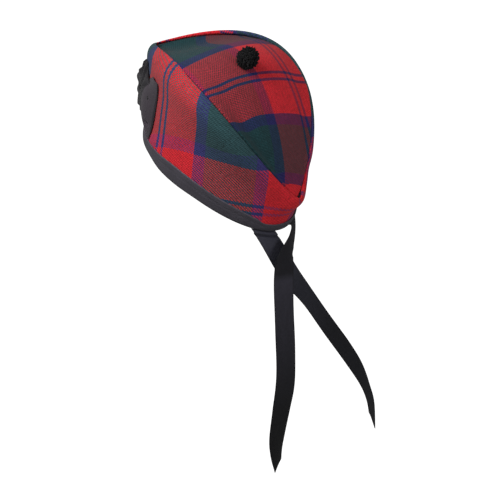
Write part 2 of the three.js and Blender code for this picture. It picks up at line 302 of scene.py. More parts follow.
@dataclass
class Sheet:
    """A cloth surface on a grid: points (u, v, 3) and cloth coordinates (u, v, 2 or 4).

    The last two of four coordinates are the weave's, in millimetres. A ring is closed on itself in u,
    and its cloth coordinates have one more column for the join.
    """

    points: Array
    cloth: Array
    ring: bool = False

    def normals(self) -> Array:
        """The surface's normals: slopes from neighbouring points, crossed.

        Returns:
            Unit vectors, one for each point.
        """
        if self.ring:
            along = np.roll(self.points, -1, 0) - np.roll(self.points, 1, 0)
        else:
            along = np.gradient(self.points, axis=0)
        return unit(np.cross(along, np.gradient(self.points, axis=1)))

    def wall(self, name: str, half: Array | float) -> bpy.types.Object:
        """Gives the sheet a thickness and makes it an object: points plus and minus normal times half.

        Args:
            name: The object's name.
            half: Half the thickness at each point, or everywhere.

        Returns:
            The new object, with one closed mesh and its cloth map.
        """
        stand = self.normals() * np.broadcast_to(half, self.points.shape[:2])[..., None]
        loop = np.concatenate([self.points + stand, (self.points - stand)[:, ::-1]], 1)
        cloth = np.concatenate([self.cloth, self.cloth[:, ::-1]], 1)
        return loop_object(name, loop, cloth, self.ring)


def loop_object(name: str, loop: Array, cloth: Array, ring: bool) -> bpy.types.Object:
    """Makes a closed mesh from a closed profile carried along a path.

    Args:
        name: The object's name.
        loop: Points (path, profile, 3) in the row's frame in millimetres; the profile's second half runs
            back along its first.
        cloth: Cloth coordinates (path, profile, 2 or 4), with one more column where the path is a ring.
        ring: Whether the path is closed on itself.

    Returns:
        The new object.
    """
    columns, rows = loop.shape[:2]
    half = rows // 2
    spans = columns if ring else columns - 1
    i, j = np.meshgrid(np.arange(spans), np.arange(rows), indexing="ij")
    corner_u = np.stack([i, i + 1, i + 1, i], -1).reshape(-1, 4)
    next_j = (j + 1) % rows
    corner_v = np.stack([j, j, next_j, next_j], -1).reshape(-1, 4)
    if not ring:
        k = np.arange(half - 1)
        back = rows - 1 - k
        first = np.stack([k, k + 1, back - 1, back], -1)
        ends_v = np.concatenate([first, first[:, ::-1]])
        ends_u = np.repeat([0, columns - 1], half - 1)[:, None] + np.zeros_like(ends_v)
        corner_u = np.concatenate([corner_u, ends_u])
        corner_v = np.concatenate([corner_v, ends_v])
    faces = (corner_u % columns) * rows + corner_v
    return mesh_object(name, loop.reshape(-1, 3), faces, cloth[corner_u, corner_v])


def mesh_object(name: str, points: Array, faces: Array, cloth: Array) -> bpy.types.Object:
    """Puts points, faces and cloth coordinates into a smooth mesh object.

    Args:
        name: The object's name.
        points: Points (n, 3) in the row's frame in millimetres.
        faces: Corner indices (m, 4).
        cloth: Cloth coordinates of the corners (m, 4, 2), with the weave's after them in (m, 4, 4).

    Returns:
        The new object, linked to the scene.
    """
    mesh = bpy.data.meshes.new(name)
    mesh.from_pydata((points * METRES).tolist(), [], faces.tolist())
    for title, first in zip((CLOTH_MAP, WEAVE_MAP), range(0, cloth.shape[-1], 2)):
        layer = mesh.uv_layers.new(name=title)
        flat = np.ascontiguousarray(cloth[..., first : first + 2], np.float32)
        layer.data.foreach_set("uv", flat.ravel())
    mesh.polygons.foreach_set("use_smooth", np.ones(len(faces), bool))
    mesh.update()
    made = bpy.data.objects.new(name, mesh)
    bpy.context.scene.collection.objects.link(made)
    return made


def ring_cap(count: int) -> Array:
    """Four-cornered faces that close a ring of an even count of points, fanned from its first."""
    k = 2 * np.arange(count // 2 - 1)
    return np.stack([0 * k, k + 1, k + 2, k + 3], -1)


def path_length(points: Array) -> Array:
    """The length run along a path up to each of its points, in the points' unit."""
    steps = np.linalg.norm(np.diff(points, axis=0), axis=-1)
    return np.concatenate([[0.0], np.cumsum(steps)])


def read_along(table: Array, run: Array, at: Array) -> Array:
    """Reads a path's points or vectors at distances along it, straight between neighbours.

    Args:
        table: Points or vectors (n, 3) of the path.
        run: The length run along the path up to each of them.
        at: The distances to read at.

    Returns:
        Points or vectors along the last axis.
    """
    return np.stack([np.interp(at, run, part) for part in table.T], -1)


def ribbon_half(count: int, half: float) -> Array:
    """Half the thickness of a ribbon across its width: even, round at its two edges.

    Args:
        count: How many places there are across the ribbon, crowded towards its edges.
        half: Half the thickness away from the edges.

    Returns:
        A row with half the thickness at each place: half times the root of 1 - |w| to a high power.
    """
    roundness = 36
    least = 0.12
    w = np.abs(2 * crowded_ends(count) - 1)
    return half * np.sqrt(np.maximum(1 - w**roundness, least**2))


class NodeBoard:
    """Adds nodes to one node tree and joins them.

    The three numbers say where a Mix node has its two colours and its mixed one.
    """

    first_colour: int = 6
    second_colour: int = 7
    mixed_colour: int = 2

    def __init__(self, tree: bpy.types.NodeTree) -> None:
        """Takes the tree that the nodes go into."""
        self.tree = tree

    def add(self, kind: str, **settings: object) -> bpy.types.Node:
        """Adds a node.

        Args:
            kind: The node's type name.
            settings: Properties to set on it.

        Returns:
            The new node.
        """
        node = self.tree.nodes.new(kind)
        for name, value in settings.items():
            setattr(node, name, value)
        return node

    def feed(self, target: Socket, source: Socket | float | tuple) -> None:
        """Joins a socket to an input, or sets the input to a constant.

        Args:
            target: The input.
            source: The socket or the constant.
        """
        if isinstance(source, bpy.types.NodeSocket):
            self.tree.links.new(source, target)
        else:
            target.default_value = source

    def math(self, operation: str, *values: Socket | float) -> Socket:
        """Adds a Math node.

        Args:
            operation: What it does.
            values: Its inputs.

        Returns:
            Its output.
        """
        node = self.add("ShaderNodeMath", operation=operation)
        for target, value in zip(node.inputs, values):
            self.feed(target, value)
        return node.outputs[0]

    def product(self, first: Socket, *others: Socket) -> Socket:
        """Multiplies values, one after the other.

        Args:
            first: The first value.
            others: The values that it is multiplied by.

        Returns:
            The product.
        """
        for other in others:
            first = self.math("MULTIPLY", first, other)
        return first

    def mix(self, share: Socket, first: Socket | tuple, second: Socket | tuple) -> Socket:
        """Adds a colour mix.

        Args:
            share: How much of the second colour.
            first: The first colour.
            second: The second colour.

        Returns:
            The mixed colour.
        """
        node = self.add("ShaderNodeMix", data_type="RGBA")
        self.feed(node.inputs["Factor"], share)
        self.feed(node.inputs[self.first_colour], first)
        self.feed(node.inputs[self.second_colour], second)
        return node.outputs[self.mixed_colour]

    def shaded(self, colour: Socket, shade: Socket) -> Socket:
        """Multiplies a colour by a shade.

        Args:
            colour: The colour.
            shade: The shade, where 1 leaves the colour as it is.

        Returns:
            The shaded colour.
        """
        node = self.add("ShaderNodeHueSaturation")
        self.feed(node.inputs["Color"], colour)
        self.feed(node.inputs["Value"], shade)
        return node.outputs[0]

    def ramp(self, value: Socket, stops: list[tuple[float, tuple]]) -> Socket:
        """Adds a colour ramp that steps from colour to colour.

        Args:
            value: Where to read it.
            stops: Places and colours.

        Returns:
            The colour.
        """
        node = self.add("ShaderNodeValToRGB")
        node.color_ramp.interpolation = "CONSTANT"
        marks = node.color_ramp.elements
        while len(marks) < len(stops):
            marks.new(1.0)
        for mark, (place, colour) in zip(marks, stops):
            mark.position = place
            mark.color = colour
        self.feed(node.inputs[0], value)
        return node.outputs[0]

    def uv(self, title: str) -> Socket:
        """The coordinates of one of the piece's own UV maps."""
        return self.add("ShaderNodeUVMap", uv_map=title).outputs[0]

    def split(self, vector: Socket) -> tuple[Socket, Socket]:
        """Splits a vector.

        Args:
            vector: The vector.

        Returns:
            Its first two parts.
        """
        node = self.add("ShaderNodeSeparateXYZ")
        self.feed(node.inputs[0], vector)
        return node.outputs[0], node.outputs[1]

    def stretched(self, vector: Socket, scale: tuple[float, float, float]) -> Socket:
        """Scales a vector.

        Args:
            vector: The vector.
            scale: The scale along each axis.

        Returns:
            The scaled vector.
        """
        node = self.add("ShaderNodeMapping")
        self.feed(node.inputs["Vector"], vector)
        node.inputs["Scale"].default_value = scale
        return node.outputs[0]

    def noise(self, vector: Socket, scale: float, detail: float = 2.0) -> Socket:
        """Adds a noise texture.

        Args:
            vector: Where it is read.
            scale: How many blotches there are to a unit.
            detail: How many finer noises are added.

        Returns:
            Its value, about 0 to 1.
        """
        node = self.add("ShaderNodeTexNoise")
        self.feed(node.inputs["Vector"], vector)
        self.feed(node.inputs["Scale"], scale)
        self.feed(node.inputs["Detail"], detail)
        return node.outputs[0]

    def spread(self, value: Socket, low: float, high: float, least: float = 0.0) -> Socket:
        """Maps a range of values to another, and holds values past its ends.

        Args:
            value: The value, from least to 1.
            low: What least becomes.
            high: What 1 becomes.
            least: Where the range starts.

        Returns:
            The mapped value.
        """
        node = self.add("ShaderNodeMapRange")
        self.feed(node.inputs["Value"], value)
        self.feed(node.inputs["From Min"], least)
        self.feed(node.inputs["To Min"], low)
        self.feed(node.inputs["To Max"], high)
        return node.outputs[0]


class EffectGroup:
    """A node group with named inputs and outputs, built once.

    An input is a number that starts at the value given, or a vector where none is. Outputs are numbers.
    """

    name: str = ""
    inputs: dict[str, float | None] = {}
    outputs: tuple[str, ...] = ()

    def tree(self) -> bpy.types.NodeTree:
        """The group's tree, which is made the first time.

        Returns:
            The node tree.
        """
        known = bpy.data.node_groups.get(self.name)
        if known:
            return known
        made = bpy.data.node_groups.new(self.name, "ShaderNodeTree")
        for title, start in self.inputs.items():
            kind = "NodeSocketVector" if start is None else "NodeSocketFloat"
            made_socket = made.interface.new_socket(title, in_out="INPUT", socket_type=kind)
            if start is not None:
                made_socket.default_value = start
        for title in self.outputs:
            made.interface.new_socket(title, in_out="OUTPUT", socket_type="NodeSocketFloat")
        board = NodeBoard(made)
        self.fill(board, board.add("NodeGroupInput").outputs, board.add("NodeGroupOutput").inputs)
        return made

    def fill(self, board: NodeBoard, given: object, wanted: object) -> None:
        """Adds the group's own nodes."""
        raise NotImplementedError

    def place(self, board: NodeBoard, **values: Socket | float) -> bpy.types.Node:
        """Places the group in a material.

        Args:
            board: The material's board.
            values: The group's inputs, by name with _ for a space.

        Returns:
            The group's node.
        """
        node = board.add("ShaderNodeGroup", node_tree=self.tree())
        for name, value in values.items():
            board.feed(node.inputs[name.replace("_", " ")], value)
        return node


class TwillWeave(EffectGroup):
    """A weave: small checks where warp and weft take turns on top, and stitches that differ in shade."""

    name = "twill_weave"
    inputs = {
        "Weave": None,
        "Pitch Along": 4.0,
        "Pitch Up": 3.6,
        "Weft Share": 0.5,
        "Weft Swing": 0.3,
        "Row Contrast": 0.3,
        "Stitch Contrast": 0.15,
    }
    outputs = ("Weft On Top", "Height", "Shade", "Bloom")
    yarn_width: float = 1.1
    yarn_length: float = 22.0
    yarn_shade: tuple[float, float] = (0.7, 1.3)
    stitch: tuple[float, float] = (2.0, 1.5)
    wobble: float = 0.08

    def fill(self, board: NodeBoard, given: object, wanted: object) -> None:
        """Args:
            board: The group's board.
            given: The group's inputs.
            wanted: The group's outputs.
        """
        weave = given["Weave"]
        along, up = board.split(weave)
        ways = (
            board.math("DIVIDE", along, given["Pitch Along"]),
            board.math("DIVIDE", up, given["Pitch Up"]),
        )
        stray = board.spread(board.noise(weave, 1 / self.yarn_length), -self.wobble, self.wobble)
        turns = [board.math("MULTIPLY", board.math("ADD", way, stray), 2 * math.pi) for way in ways]
        wave = board.product(*(board.math("SINE", turn) for turn in turns))
        over = board.math("MULTIPLY_ADD", wave, given["Weft Swing"], given["Weft Share"])
        thin, long = 1 / self.yarn_width, 1 / self.yarn_length
        yarn = board.product(
            *(
                board.spread(board.noise(board.stretched(weave, counts), 1.0), *self.yarn_shade)
                for counts in ((thin, long, 1), (long, thin, 1))
            )
        )
        cell = board.add("ShaderNodeVectorMath", operation="FLOOR")
        stitches = (1 / self.stitch[0], 1 / self.stitch[1], 1)
        board.feed(cell.inputs[0], board.stretched(weave, stitches))
        grain = board.add("ShaderNodeTexWhiteNoise", noise_dimensions="2D")
        board.feed(grain.inputs["Vector"], cell.outputs[0])
        swing = board.spread(grain.outputs["Value"], -1.0, 1.0)
        stitched = board.math("MULTIPLY_ADD", swing, given["Stitch Contrast"], 1.0)
        checked = board.math("MULTIPLY_ADD", wave, given["Row Contrast"], stitched)
        board.feed(wanted["Weft On Top"], over)
        board.feed(wanted["Shade"], board.product(yarn, checked))
        # A painted highlight: the crests of the checks, where fibres catch the light.
        board.feed(wanted["Bloom"], board.spread(wave, 0.0, 1.0, -1.0))
        board.feed(wanted["Height"], wave)


class WoolFuzz(EffectGroup):
    """Fine hair and slow blotches of wool: a shade about 1 and a height."""

    name = "wool_fuzz"
    inputs = {"Place": None, "Fine Scale": 900.0, "Broad Scale": 40.0}
    outputs = ("Shade", "Height")
    fine_detail: float = 3.0
    fine_shade: tuple[float, float] = (0.74, 1.26)
    broad_shade: tuple[float, float] = (0.88, 1.12)

    def fill(self, board: NodeBoard, given: object, wanted: object) -> None:
        """Two noises: the fine one gives the height, and both give the shade.

        Args:
            board: The group's board.
            given: The group's inputs.
            wanted: The group's outputs.
        """
        fine = board.noise(given["Place"], given["Fine Scale"], self.fine_detail)
        broad = board.noise(given["Place"], given["Broad Scale"])
        hair = board.spread(fine, *self.fine_shade)
        blotch = board.spread(broad, *self.broad_shade)
        board.feed(wanted["Shade"], board.product(hair, blotch))
        board.feed(wanted["Height"], fine)

    def lay(self, board: NodeBoard, scales: tuple[float, float]) -> bpy.types.Node:
        """Places the fuzz on the object's own coordinates, at a fine and a broad scale."""
        place = board.add("ShaderNodeTexCoord").outputs["Object"]
        return self.place(board, Place=place, Fine_Scale=scales[0], Broad_Scale=scales[1])


class RibbonRib(EffectGroup):
    """The fine crosswise ribs of a woven ribbon, its smooth selvedges and a soft mottle."""

    name = "ribbon_rib"
    inputs = {"Cloth": None, "Pitch": 1.2, "Edge": 0.46}
    outputs = ("Height", "Shade", "Selvedge")
    mottle_scale: tuple[float, float, float] = (0.06, 4.0, 1.0)
    mottle_detail: float = 3.0
    mottle_shade: tuple[float, float] = (0.8, 1.2)
    rib_shade: tuple[float, float] = (1.0, 1.1)

    def fill(self, board: NodeBoard, given: object, wanted: object) -> None:
        """Ribs are a sine along the ribbon; past Edge from its middle line lies the selvedge.

        Args:
            board: The group's board.
            given: The group's inputs.
            wanted: The group's outputs.
        """
        along, across = board.split(given["Cloth"])
        turn = board.math("DIVIDE", along, given["Pitch"])
        rib = board.math("SINE", board.math("MULTIPLY", turn, 2 * math.pi))
        out = board.math("ABSOLUTE", board.math("SUBTRACT", across, MIDDLE))
        edge = board.math("GREATER_THAN", out, given["Edge"])
        ribbed = board.product(rib, board.math("SUBTRACT", 1.0, edge))
        streaks = board.noise(board.stretched(given["Cloth"], self.mottle_scale), 1.0, self.mottle_detail)
        mottle = board.spread(streaks, *self.mottle_shade)
        board.feed(wanted["Selvedge"], edge)
        board.feed(wanted["Height"], ribbed)
        board.feed(wanted["Shade"], board.product(mottle, board.spread(ribbed, *self.rib_shade)))


class ClothMaterial:
    """A cloth's material: its shader, and the board that its nodes go on."""

    sheen_roughness: float = 0.5
    specular_level: float = 0.2

    def __init__(self, name: str, roughness: float, sheen: float) -> None:
        """Starts the material.

        Args:
            name: The material's name.
            roughness: The cloth's roughness.
            sheen: How strong the shader's sheen on its fibres is.
        """
        self.material = bpy.data.materials.new(name)
        self.material.use_nodes = True
        self.board = NodeBoard(self.material.node_tree)
        self.shader = self.material.node_tree.nodes["Principled BSDF"]
        self.shader.inputs["Roughness"].default_value = roughness
        self.shader.inputs["Sheen Weight"].default_value = sheen
        self.shader.inputs["Sheen Roughness"].default_value = self.sheen_roughness
        self.shader.inputs["Specular IOR Level"].default_value = self.specular_level

    def colour(self, source: Socket) -> None:
        """Feeds the shader's base colour."""
        self.board.feed(self.shader.inputs["Base Color"], source)

    def bump(self, height: Socket, depth_m: float, strength: float) -> None:
        """Feeds a height into the shader's normal through a bump.

        Args:
            height: The height, about 0 to 1.
            depth_m: The depth that a height of 1 stands for, in metres.
            strength: How strongly it shows.
        """
        node = self.board.add("ShaderNodeBump")
        node.inputs["Strength"].default_value = strength
        node.inputs["Distance"].default_value = depth_m
        self.board.feed(node.inputs["Height"], height)
        self.board.feed(self.shader.inputs["Normal"], node.outputs[0])


@dataclass(frozen=True)
class TartanFinish:
    """A woollen tartan in twill, on a cloth map counted in half setts.

    A half sett runs from the middle of the double line to the middle of the green: a red middle, a navy
    line, red ground, a navy bar and a green bar, and turns back from there.
    """

    name: str
    weft_share: float
    weft_swing: float
    pitch_along: float
    pitch_up: float
    row_contrast: float
    stitch_contrast: float
    navy: tuple[int, int, int]
    green: tuple[int, int, int]
    blend_power: float = 1.0
    # This share, and the pale colour two lines below, paint a highlight: a whitish glint of fibres
    # catching the light on the crests of the checks.
    painted_glint: float = 0.02
    red: tuple[int, int, int] = (218, 34, 46)
    glint_colour: tuple = linear(214, 190, 194)
    line_from: float = 0.027
    line_to: float = 0.066
    navy_from: float = 0.515
    green_from: float = 0.667
    roughness: float = 0.9
    sheen: float = 0.06
    fuzz_scales: tuple[float, float] = (700.0, 26.0)
    bump_depth_m: float = 0.0005
    bump_strength: float = 0.5

    def yarn(self, colour: tuple[int, int, int]) -> tuple[float, ...]:
        """A yarn's colour as it is mixed: its light to the power of 1 / blend_power."""
        return tuple(part ** (1 / self.blend_power) for part in linear(*colour))

    def make(self) -> bpy.types.Material:
        """Makes the material: a blend_power over 1 lets the darker of two yarns tell more.

        Returns:
            The material.
        """
        made = ClothMaterial(self.name, self.roughness, self.sheen)
        board = made.board
        red, navy, green = (self.yarn(colour) for colour in (self.red, self.navy, self.green))
        stops = [
            (0.0, red),
            (self.line_from, navy),
            (self.line_to, red),
            (self.navy_from, navy),
            (self.green_from, green),
        ]
        counts = board.split(board.uv(CLOTH_MAP))
        warp, weft = (board.ramp(board.math("PINGPONG", count, 1.0), stops) for count in counts)
        twill = TwillWeave().place(
            board,
            Weave=board.uv(WEAVE_MAP),
            Pitch_Along=self.pitch_along,
            Pitch_Up=self.pitch_up,
            Weft_Share=self.weft_share,
            Weft_Swing=self.weft_swing,
            Row_Contrast=self.row_contrast,
            Stitch_Contrast=self.stitch_contrast,
        )
        fuzz = WoolFuzz().lay(board, self.fuzz_scales)
        woven = board.add("ShaderNodeGamma")
        board.feed(woven.inputs["Color"], board.mix(twill.outputs["Weft On Top"], warp, weft))
        board.feed(woven.inputs["Gamma"], self.blend_power)
        shade = board.product(fuzz.outputs["Shade"], twill.outputs["Shade"])
        # A painted highlight: a little whitish colour mixed in on the crests of the checks.
        glint_share = board.math("MULTIPLY", twill.outputs["Bloom"], self.painted_glint)
        made.colour(board.mix(glint_share, board.shaded(woven.outputs[0], shade), self.glint_colour))
        height = board.math("ADD", twill.outputs["Height"], fuzz.outputs["Height"])
        made.bump(height, self.bump_depth_m, self.bump_strength)
        return made.material


@dataclass(frozen=True)
class RibbonFinish:
    """A ribbed ribbon on a cloth map of millimetres along it and shares of its width across it."""

    name: str
    body: tuple
    # The colour of the ribbon's edge strips: darker selvedges on the tails and the cockade, a painted
    # highlight on the band.
    edge: tuple
    pitch: float = 1.3
    roughness: float = 0.6
    sheen: float = 0.1
    rough_swing: float = 0.08
    fuzz_scales: tuple[float, float] = (1200.0, 45.0)
    rib_strength: float = 0.6
    rib_depth_m: float = 0.00025
    edge_from: float = 0.455
    # Painted light and shade: the factors below make the ribbon lighter or darker from top_from over
    # top_length, darker towards end_length, and darker about fold_place across it, where a fold lies in
    # shade.
    top_painted_light: float = 1.0
    top_from: float = 0.0
    top_length: float = 60.0
    end_painted_shade: float = 1.0
    end_length: float = 320.0
    fold_painted_shade: float = 1.0
    fold_place: float = 0.3
    fold_half: float = 0.16

    def make(self) -> bpy.types.Material:
        """Makes the material: painted light and shade run from a factor by the top to another at the end,
        and painted shade darkens a fold across it.

        Returns:
            The material.
        """
        made = ClothMaterial(self.name, self.roughness, self.sheen)
        board = made.board
        cloth = board.uv(CLOTH_MAP)
        run, across = board.split(cloth)
        rib = RibbonRib().place(board, Cloth=cloth, Pitch=self.pitch, Edge=self.edge_from)
        fuzz = WoolFuzz().lay(board, self.fuzz_scales)
        # Painted light and shade along the ribbon and in its fold.
        past_top = board.math("SUBTRACT", run, self.top_from)
        near = board.spread(board.math("DIVIDE", past_top, self.top_length), self.top_painted_light, 1.0)
        far = board.spread(board.math("DIVIDE", run, self.end_length), 1.0, self.end_painted_shade)
        off_fold = board.math("ABSOLUTE", board.math("SUBTRACT", across, self.fold_place))
        folded = board.spread(board.math("DIVIDE", off_fold, self.fold_half), self.fold_painted_shade, 1.0)
        shade = board.product(rib.outputs["Shade"], fuzz.outputs["Shade"], near, far, folded)
        made.colour(board.shaded(board.mix(rib.outputs["Selvedge"], self.body, self.edge), shade))
        low, high = self.roughness - self.rough_swing, self.roughness + self.rough_swing
        board.feed(made.shader.inputs["Roughness"], board.spread(fuzz.outputs["Height"], low, high))
        made.bump(rib.outputs["Height"], self.rib_depth_m, self.rib_strength)
        return made.material


@dataclass(frozen=True)
class WoolFinish:
    """Cut black wool, with painted shade at the tufts' roots and a painted highlight at their tips."""

    name: str
    # Painted light: the root colour is painted shade deep among the tufts and on the core, the tip colour
    # a painted highlight on the tufts' ends.
    root: tuple = linear(2, 2, 3)
    tip: tuple = linear(8, 8, 11)
    roughness: float = 0.85
    sheen: float = 0.08
    fuzz_scales: tuple[float, float] = (1500.0, 120.0)
    bump_depth_m: float = 0.0004
    bump_strength: float = 0.6

    def make(self) -> bpy.types.Material:
        """Makes the material: darker at a tuft's root than at its tip, a painted shade deep in the ball
        and a painted highlight at the tips.

        Returns:
            The material.
        """
        made = ClothMaterial(self.name, self.roughness, self.sheen)
        board = made.board
        to_tip = board.split(board.uv(CLOTH_MAP))[0]
        fuzz = WoolFuzz().lay(board, self.fuzz_scales)
        made.colour(board.shaded(board.mix(to_tip, self.root, self.tip), fuzz.outputs["Shade"]))
        made.bump(fuzz.outputs["Height"], self.bump_depth_m, self.bump_strength)
        return made.material


@dataclass(frozen=True)
class Sett:
    """Where the tartan lies on a piece: cloth millimetres as a plane bent a little over the piece.

    warp and weft each give a start, their growth along s and t for each 100 mm, and their growth with
    the product of both, with s squared, t squared and s cubed. s and t are counted from origin.
    """

    origin: tuple[float, float]
    warp: tuple[float, ...]
    weft: tuple[float, ...]
    half_sett: float = 88.5
    hundred: float = 100.0

    def lay(self, s: Array, t: Array) -> Array:
        """Lays the tartan.

        Args:
            s: Millimetres along the piece.
            t: Millimetres up or across the piece.

        Returns:
            Warp and weft along the last axis, in half setts.
        """
        along = (s - self.origin[0]) / self.hundred
        over = (t - self.origin[1]) / self.hundred
        powers = (along**0, along, over, along * over, along**2, over**2, along**3)
        terms = np.stack(np.broadcast_arrays(*powers), -1)
        ways = [terms[..., : len(way)] @ np.array(way) for way in (self.warp, self.weft)]
        return np.stack(ways, -1) / self.half_sett


@dataclass(frozen=True)
class Hump:
    """A smooth hump on a piece: its height, its place in s and t, and how far it spreads along each."""

    high: float
    s: float
    t: float
    s_spread: float
    t_spread: float

    def __call__(self, s: Array, t: Array) -> Array:
        """The hump's height at each place: high times a bell along s and a bell along t."""
        return self.high * bell(s - self.s, self.s_spread) * bell(t - self.t, self.t_spread)


@dataclass
class Piece:
    """A piece of the cap that stands for a node, with the name of a slot."""

    cap: CapForm
    node: str
    slot: str

    def dress(self, made: bpy.types.Object, material: bpy.types.Material) -> bpy.types.Object:
        """Gives a piece its material and its place in the frame.

        Args:
            made: The piece's object.
            material: What it wears.

        Returns:
            The same object.
        """
        made.data.materials.append(material)
        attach(made, BODY)
        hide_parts(self.node)
        LOG.info("%s: %d faces, stands for %s", made.name, len(made.data.polygons), self.node)
        return made


@dataclass
class ClothPiece(Piece):
    """A piece cut from one sheet of cloth: its flat size in metres, how it is held and what holds it."""

    suffix: ClassVar[str] = ""
    held: ClassVar[Hold] = Hold.STRETCHED
    rests_on: ClassVar[tuple[str, ...]] = ()
    flat: tuple[float, float] = (0.0, 0.0)
    flat_area: float | None = None

    def sheet(self) -> Sheet:
        """The piece's middle surface."""
        raise NotImplementedError

    def half(self) -> Array | float:
        """Half the cloth's thickness at each of the sheet's points, or everywhere."""
        raise NotImplementedError

    def build(self, material: bpy.types.Material) -> bpy.types.Object:
        """Makes the piece.

        Args:
            material: What it wears.

        Returns:
            The dressed piece.
        """
        made = self.sheet().wall(self.node + self.suffix, self.half())
        return self.dress(made, material)


@dataclass
class TartanSide(ClothPiece):
    """One tartan side, from the rim to the rolled ridge by the crown."""

    suffix: ClassVar[str] = "_cloth"
    held: ClassVar[Hold] = Hold.STRETCHED
    rests_on: ClassVar[tuple[str, ...]] = ("band",)
    flank: Flank = Flank.LEFT
    around: int = 240
    rows: int = 64
    seam_lap: float = 0.3
    end_angle: float = 0.004
    left_ridge: Curve = Curve((0, 0.3, 0.42, 1), (0, 0, -1.4, -1.4))
    right_ridge: Curve = Curve((0, 0.1, 0.3, 0.5, 0.7, 1), (0, 1.4, 2.0, 2.0, 0, -1.4))
    roll: float = 2.3
    roll_end: float = 0.3
    lean: float = 4.0
    lean_height: float = 112.0
    lean_spread: float = 32.0
    lean_fade: tuple[float, float] = (100.0, 170.0)
    pulls: tuple[Hump, ...] = (
        Hump(5.5, 166, 100, 32, 22),
        Hump(9.0, 62, 92, 18, 22),
        Hump(-12.0, 40, 118, 16, 12),
    )
    rear_puff: Hump = Hump(4.0, 304, 37, 17, 13)
    right_pinch: Hump = Hump(-2.0, 274, 62, 14, 12)
    sag: float = 0.7
    sag_along: tuple[float, float] = (19.0, 41.0)
    sag_up: tuple[float, float] = (27.0, 17.0)
    sag_shift: float = 1.1
    fine_from: float = 150.0
    fine_growth: float = 0.004
    twill_lean: float = 0.7
    twill_from: float = 125.0
    twill_spread: float = 30.0
    twill_fade: tuple[float, float] = (90.0, 140.0)
    left_sett: Sett = Sett((130, 60), (19.1, 78.8, 4.2, 18.1, 4.3), (66.2, -39.3, 78.2, 2.9, 9.7))
    right_sett: Sett = Sett((130, 60), (45.0, 56.0, 54.0), (80.0, -40.0, 50.0))
    left_weft_top: float = 1.21
    flat: tuple[float, float] = (0.16, 0.36)
    flat_area: float = 0.0345

    def angles(self) -> Array:
        """The angles that the side's columns stand at, from the front to the rear."""
        return np.linspace(self.end_angle, math.pi - self.end_angle, self.around)[:, None]

    def uneven(self, s: Array, t: Array, up: Array) -> Array:
        """The cloth's soft unevenness: two crossing waves that die out at its edges, and its humps.

        Args:
            s: Millimetres along the side.
            t: Millimetres up the side.
            up: Share of the way from the rim to the ridge.

        Returns:
            How far the cloth stands out at each place.
        """
        first = np.sin(s / self.sag_along[0] + t / self.sag_up[0])
        second = np.sin(t / self.sag_up[1] - s / self.sag_along[1] + self.sag_shift)
        out = self.sag * first * second * np.sin(math.pi * up) + self.rear_puff(s, t)
        return out if self.flank is Flank.LEFT else out + self.right_pinch(s, t)

    def tartan(self, s: Array, t: Array) -> Array:
        """Lays the tartan, whose lines lean over at a height and are pulled aside at places.

        Args:
            s: Millimetres along the side.
            t: Millimetres up the side.

        Returns:
            Warp and weft along the last axis, in half setts.
        """
        leaning = self.lean * bell(t - self.lean_height, self.lean_spread)
        leaning = leaning * (1 - eased(s, *self.lean_fade)) + sum(pull(s, t) for pull in self.pulls)
        if self.flank is Flank.RIGHT:
            return self.right_sett.lay(s - leaning, t)
        cloth = self.left_sett.lay(s - leaning, t)
        cloth[..., 1] = np.minimum(cloth[..., 1], self.left_weft_top)
        return cloth

    def weave(self, s: Array, t: Array, rise: Array) -> Array:
        """The weave's own coordinates: finer towards the rear, and leaning so that its checks slant.

        Args:
            s: Millimetres along the side.
            t: Millimetres up the side.
            rise: Millimetres up the cloth as it lies.

        Returns:
            Along and up on the last axis, in millimetres.
        """
        far = np.maximum(s - self.fine_from, 0)
        upright = eased(t, *self.twill_fade) * bell(s - self.twill_from, self.twill_spread)
        lean = self.twill_lean * (s - self.twill_from) * (1 - upright)
        across = rise * (1 + self.fine_growth * far / 2) - lean
        return np.stack([s + self.fine_growth * far**2 / 2, across], -1)

    def sheet(self) -> Sheet:
        """The side's middle surface, which runs a little into the other side at its two ends.

        Returns:
            The sheet.
        """
        angle = self.angles()
        along = to_rear(angle)
        height = self.cap.side_height(angle)
        left = self.flank is Flank.LEFT
        ridge = self.left_ridge if left else self.right_ridge
        up = crowded_ends(self.rows) * (1 + ridge(along) / height)
        fine = np.linspace(0, math.pi, FINE_STEPS)
        middle = self.cap.side(fine, np.array(MIDDLE))
        s = np.interp(angle, fine, path_length(middle)) + 0 * up
        t = up * height
        inward = np.maximum(self.half_wall(angle), self.cap.cloth / 2)
        stand = self.uneven(s, t, up) - inward
        points = self.cap.side(angle, up) + self.cap.side_normal(angle, up) * stand[..., None]
        points[..., 0] = np.maximum(points[..., 0], 0)
        points[[0, -1], :, 0] = -self.seam_lap
        points[..., 0] *= self.flank.value
        rise = np.linalg.norm(np.diff(points, axis=1, prepend=points[:, :1]), axis=-1).cumsum(1)
        cloth = np.concatenate([self.tartan(s, t), self.weave(s, t, rise)], -1)
        if not left:
            points, cloth = points[::-1], cloth[::-1]
        return Sheet(self.cap.tip_back(points), cloth)

    def half_wall(self, angle: Array) -> Array:
        """Half the cloth's thickness: even, and on the right side rolled to a round edge at the top.

        Args:
            angle: Angle from the front, in radians.

        Returns:
            Half the thickness at each point: at a distance d from the top it is at least the height of a
            circle, the root of roll squared - (d - roll) squared.
        """
        even = ribbon_half(self.rows, self.cap.cloth / 2)
        if self.flank is Flank.LEFT:
            return even + 0 * angle
        forward = np.sqrt(np.sin(np.minimum(angle, math.pi / 2)))
        roll = self.roll * forward * eased(math.pi - angle, 0, self.roll_end)
        below = (1 - crowded_ends(self.rows)) * self.cap.side_height(angle)
        return np.maximum(even, np.sqrt(np.maximum(roll**2 - (below - roll) ** 2, 0)))

    def half(self) -> Array:
        """Half the wall at each of the sheet's points, which start at the rear on the right side."""
        half = self.half_wall(self.angles())
        return half if self.flank is Flank.LEFT else half[::-1]


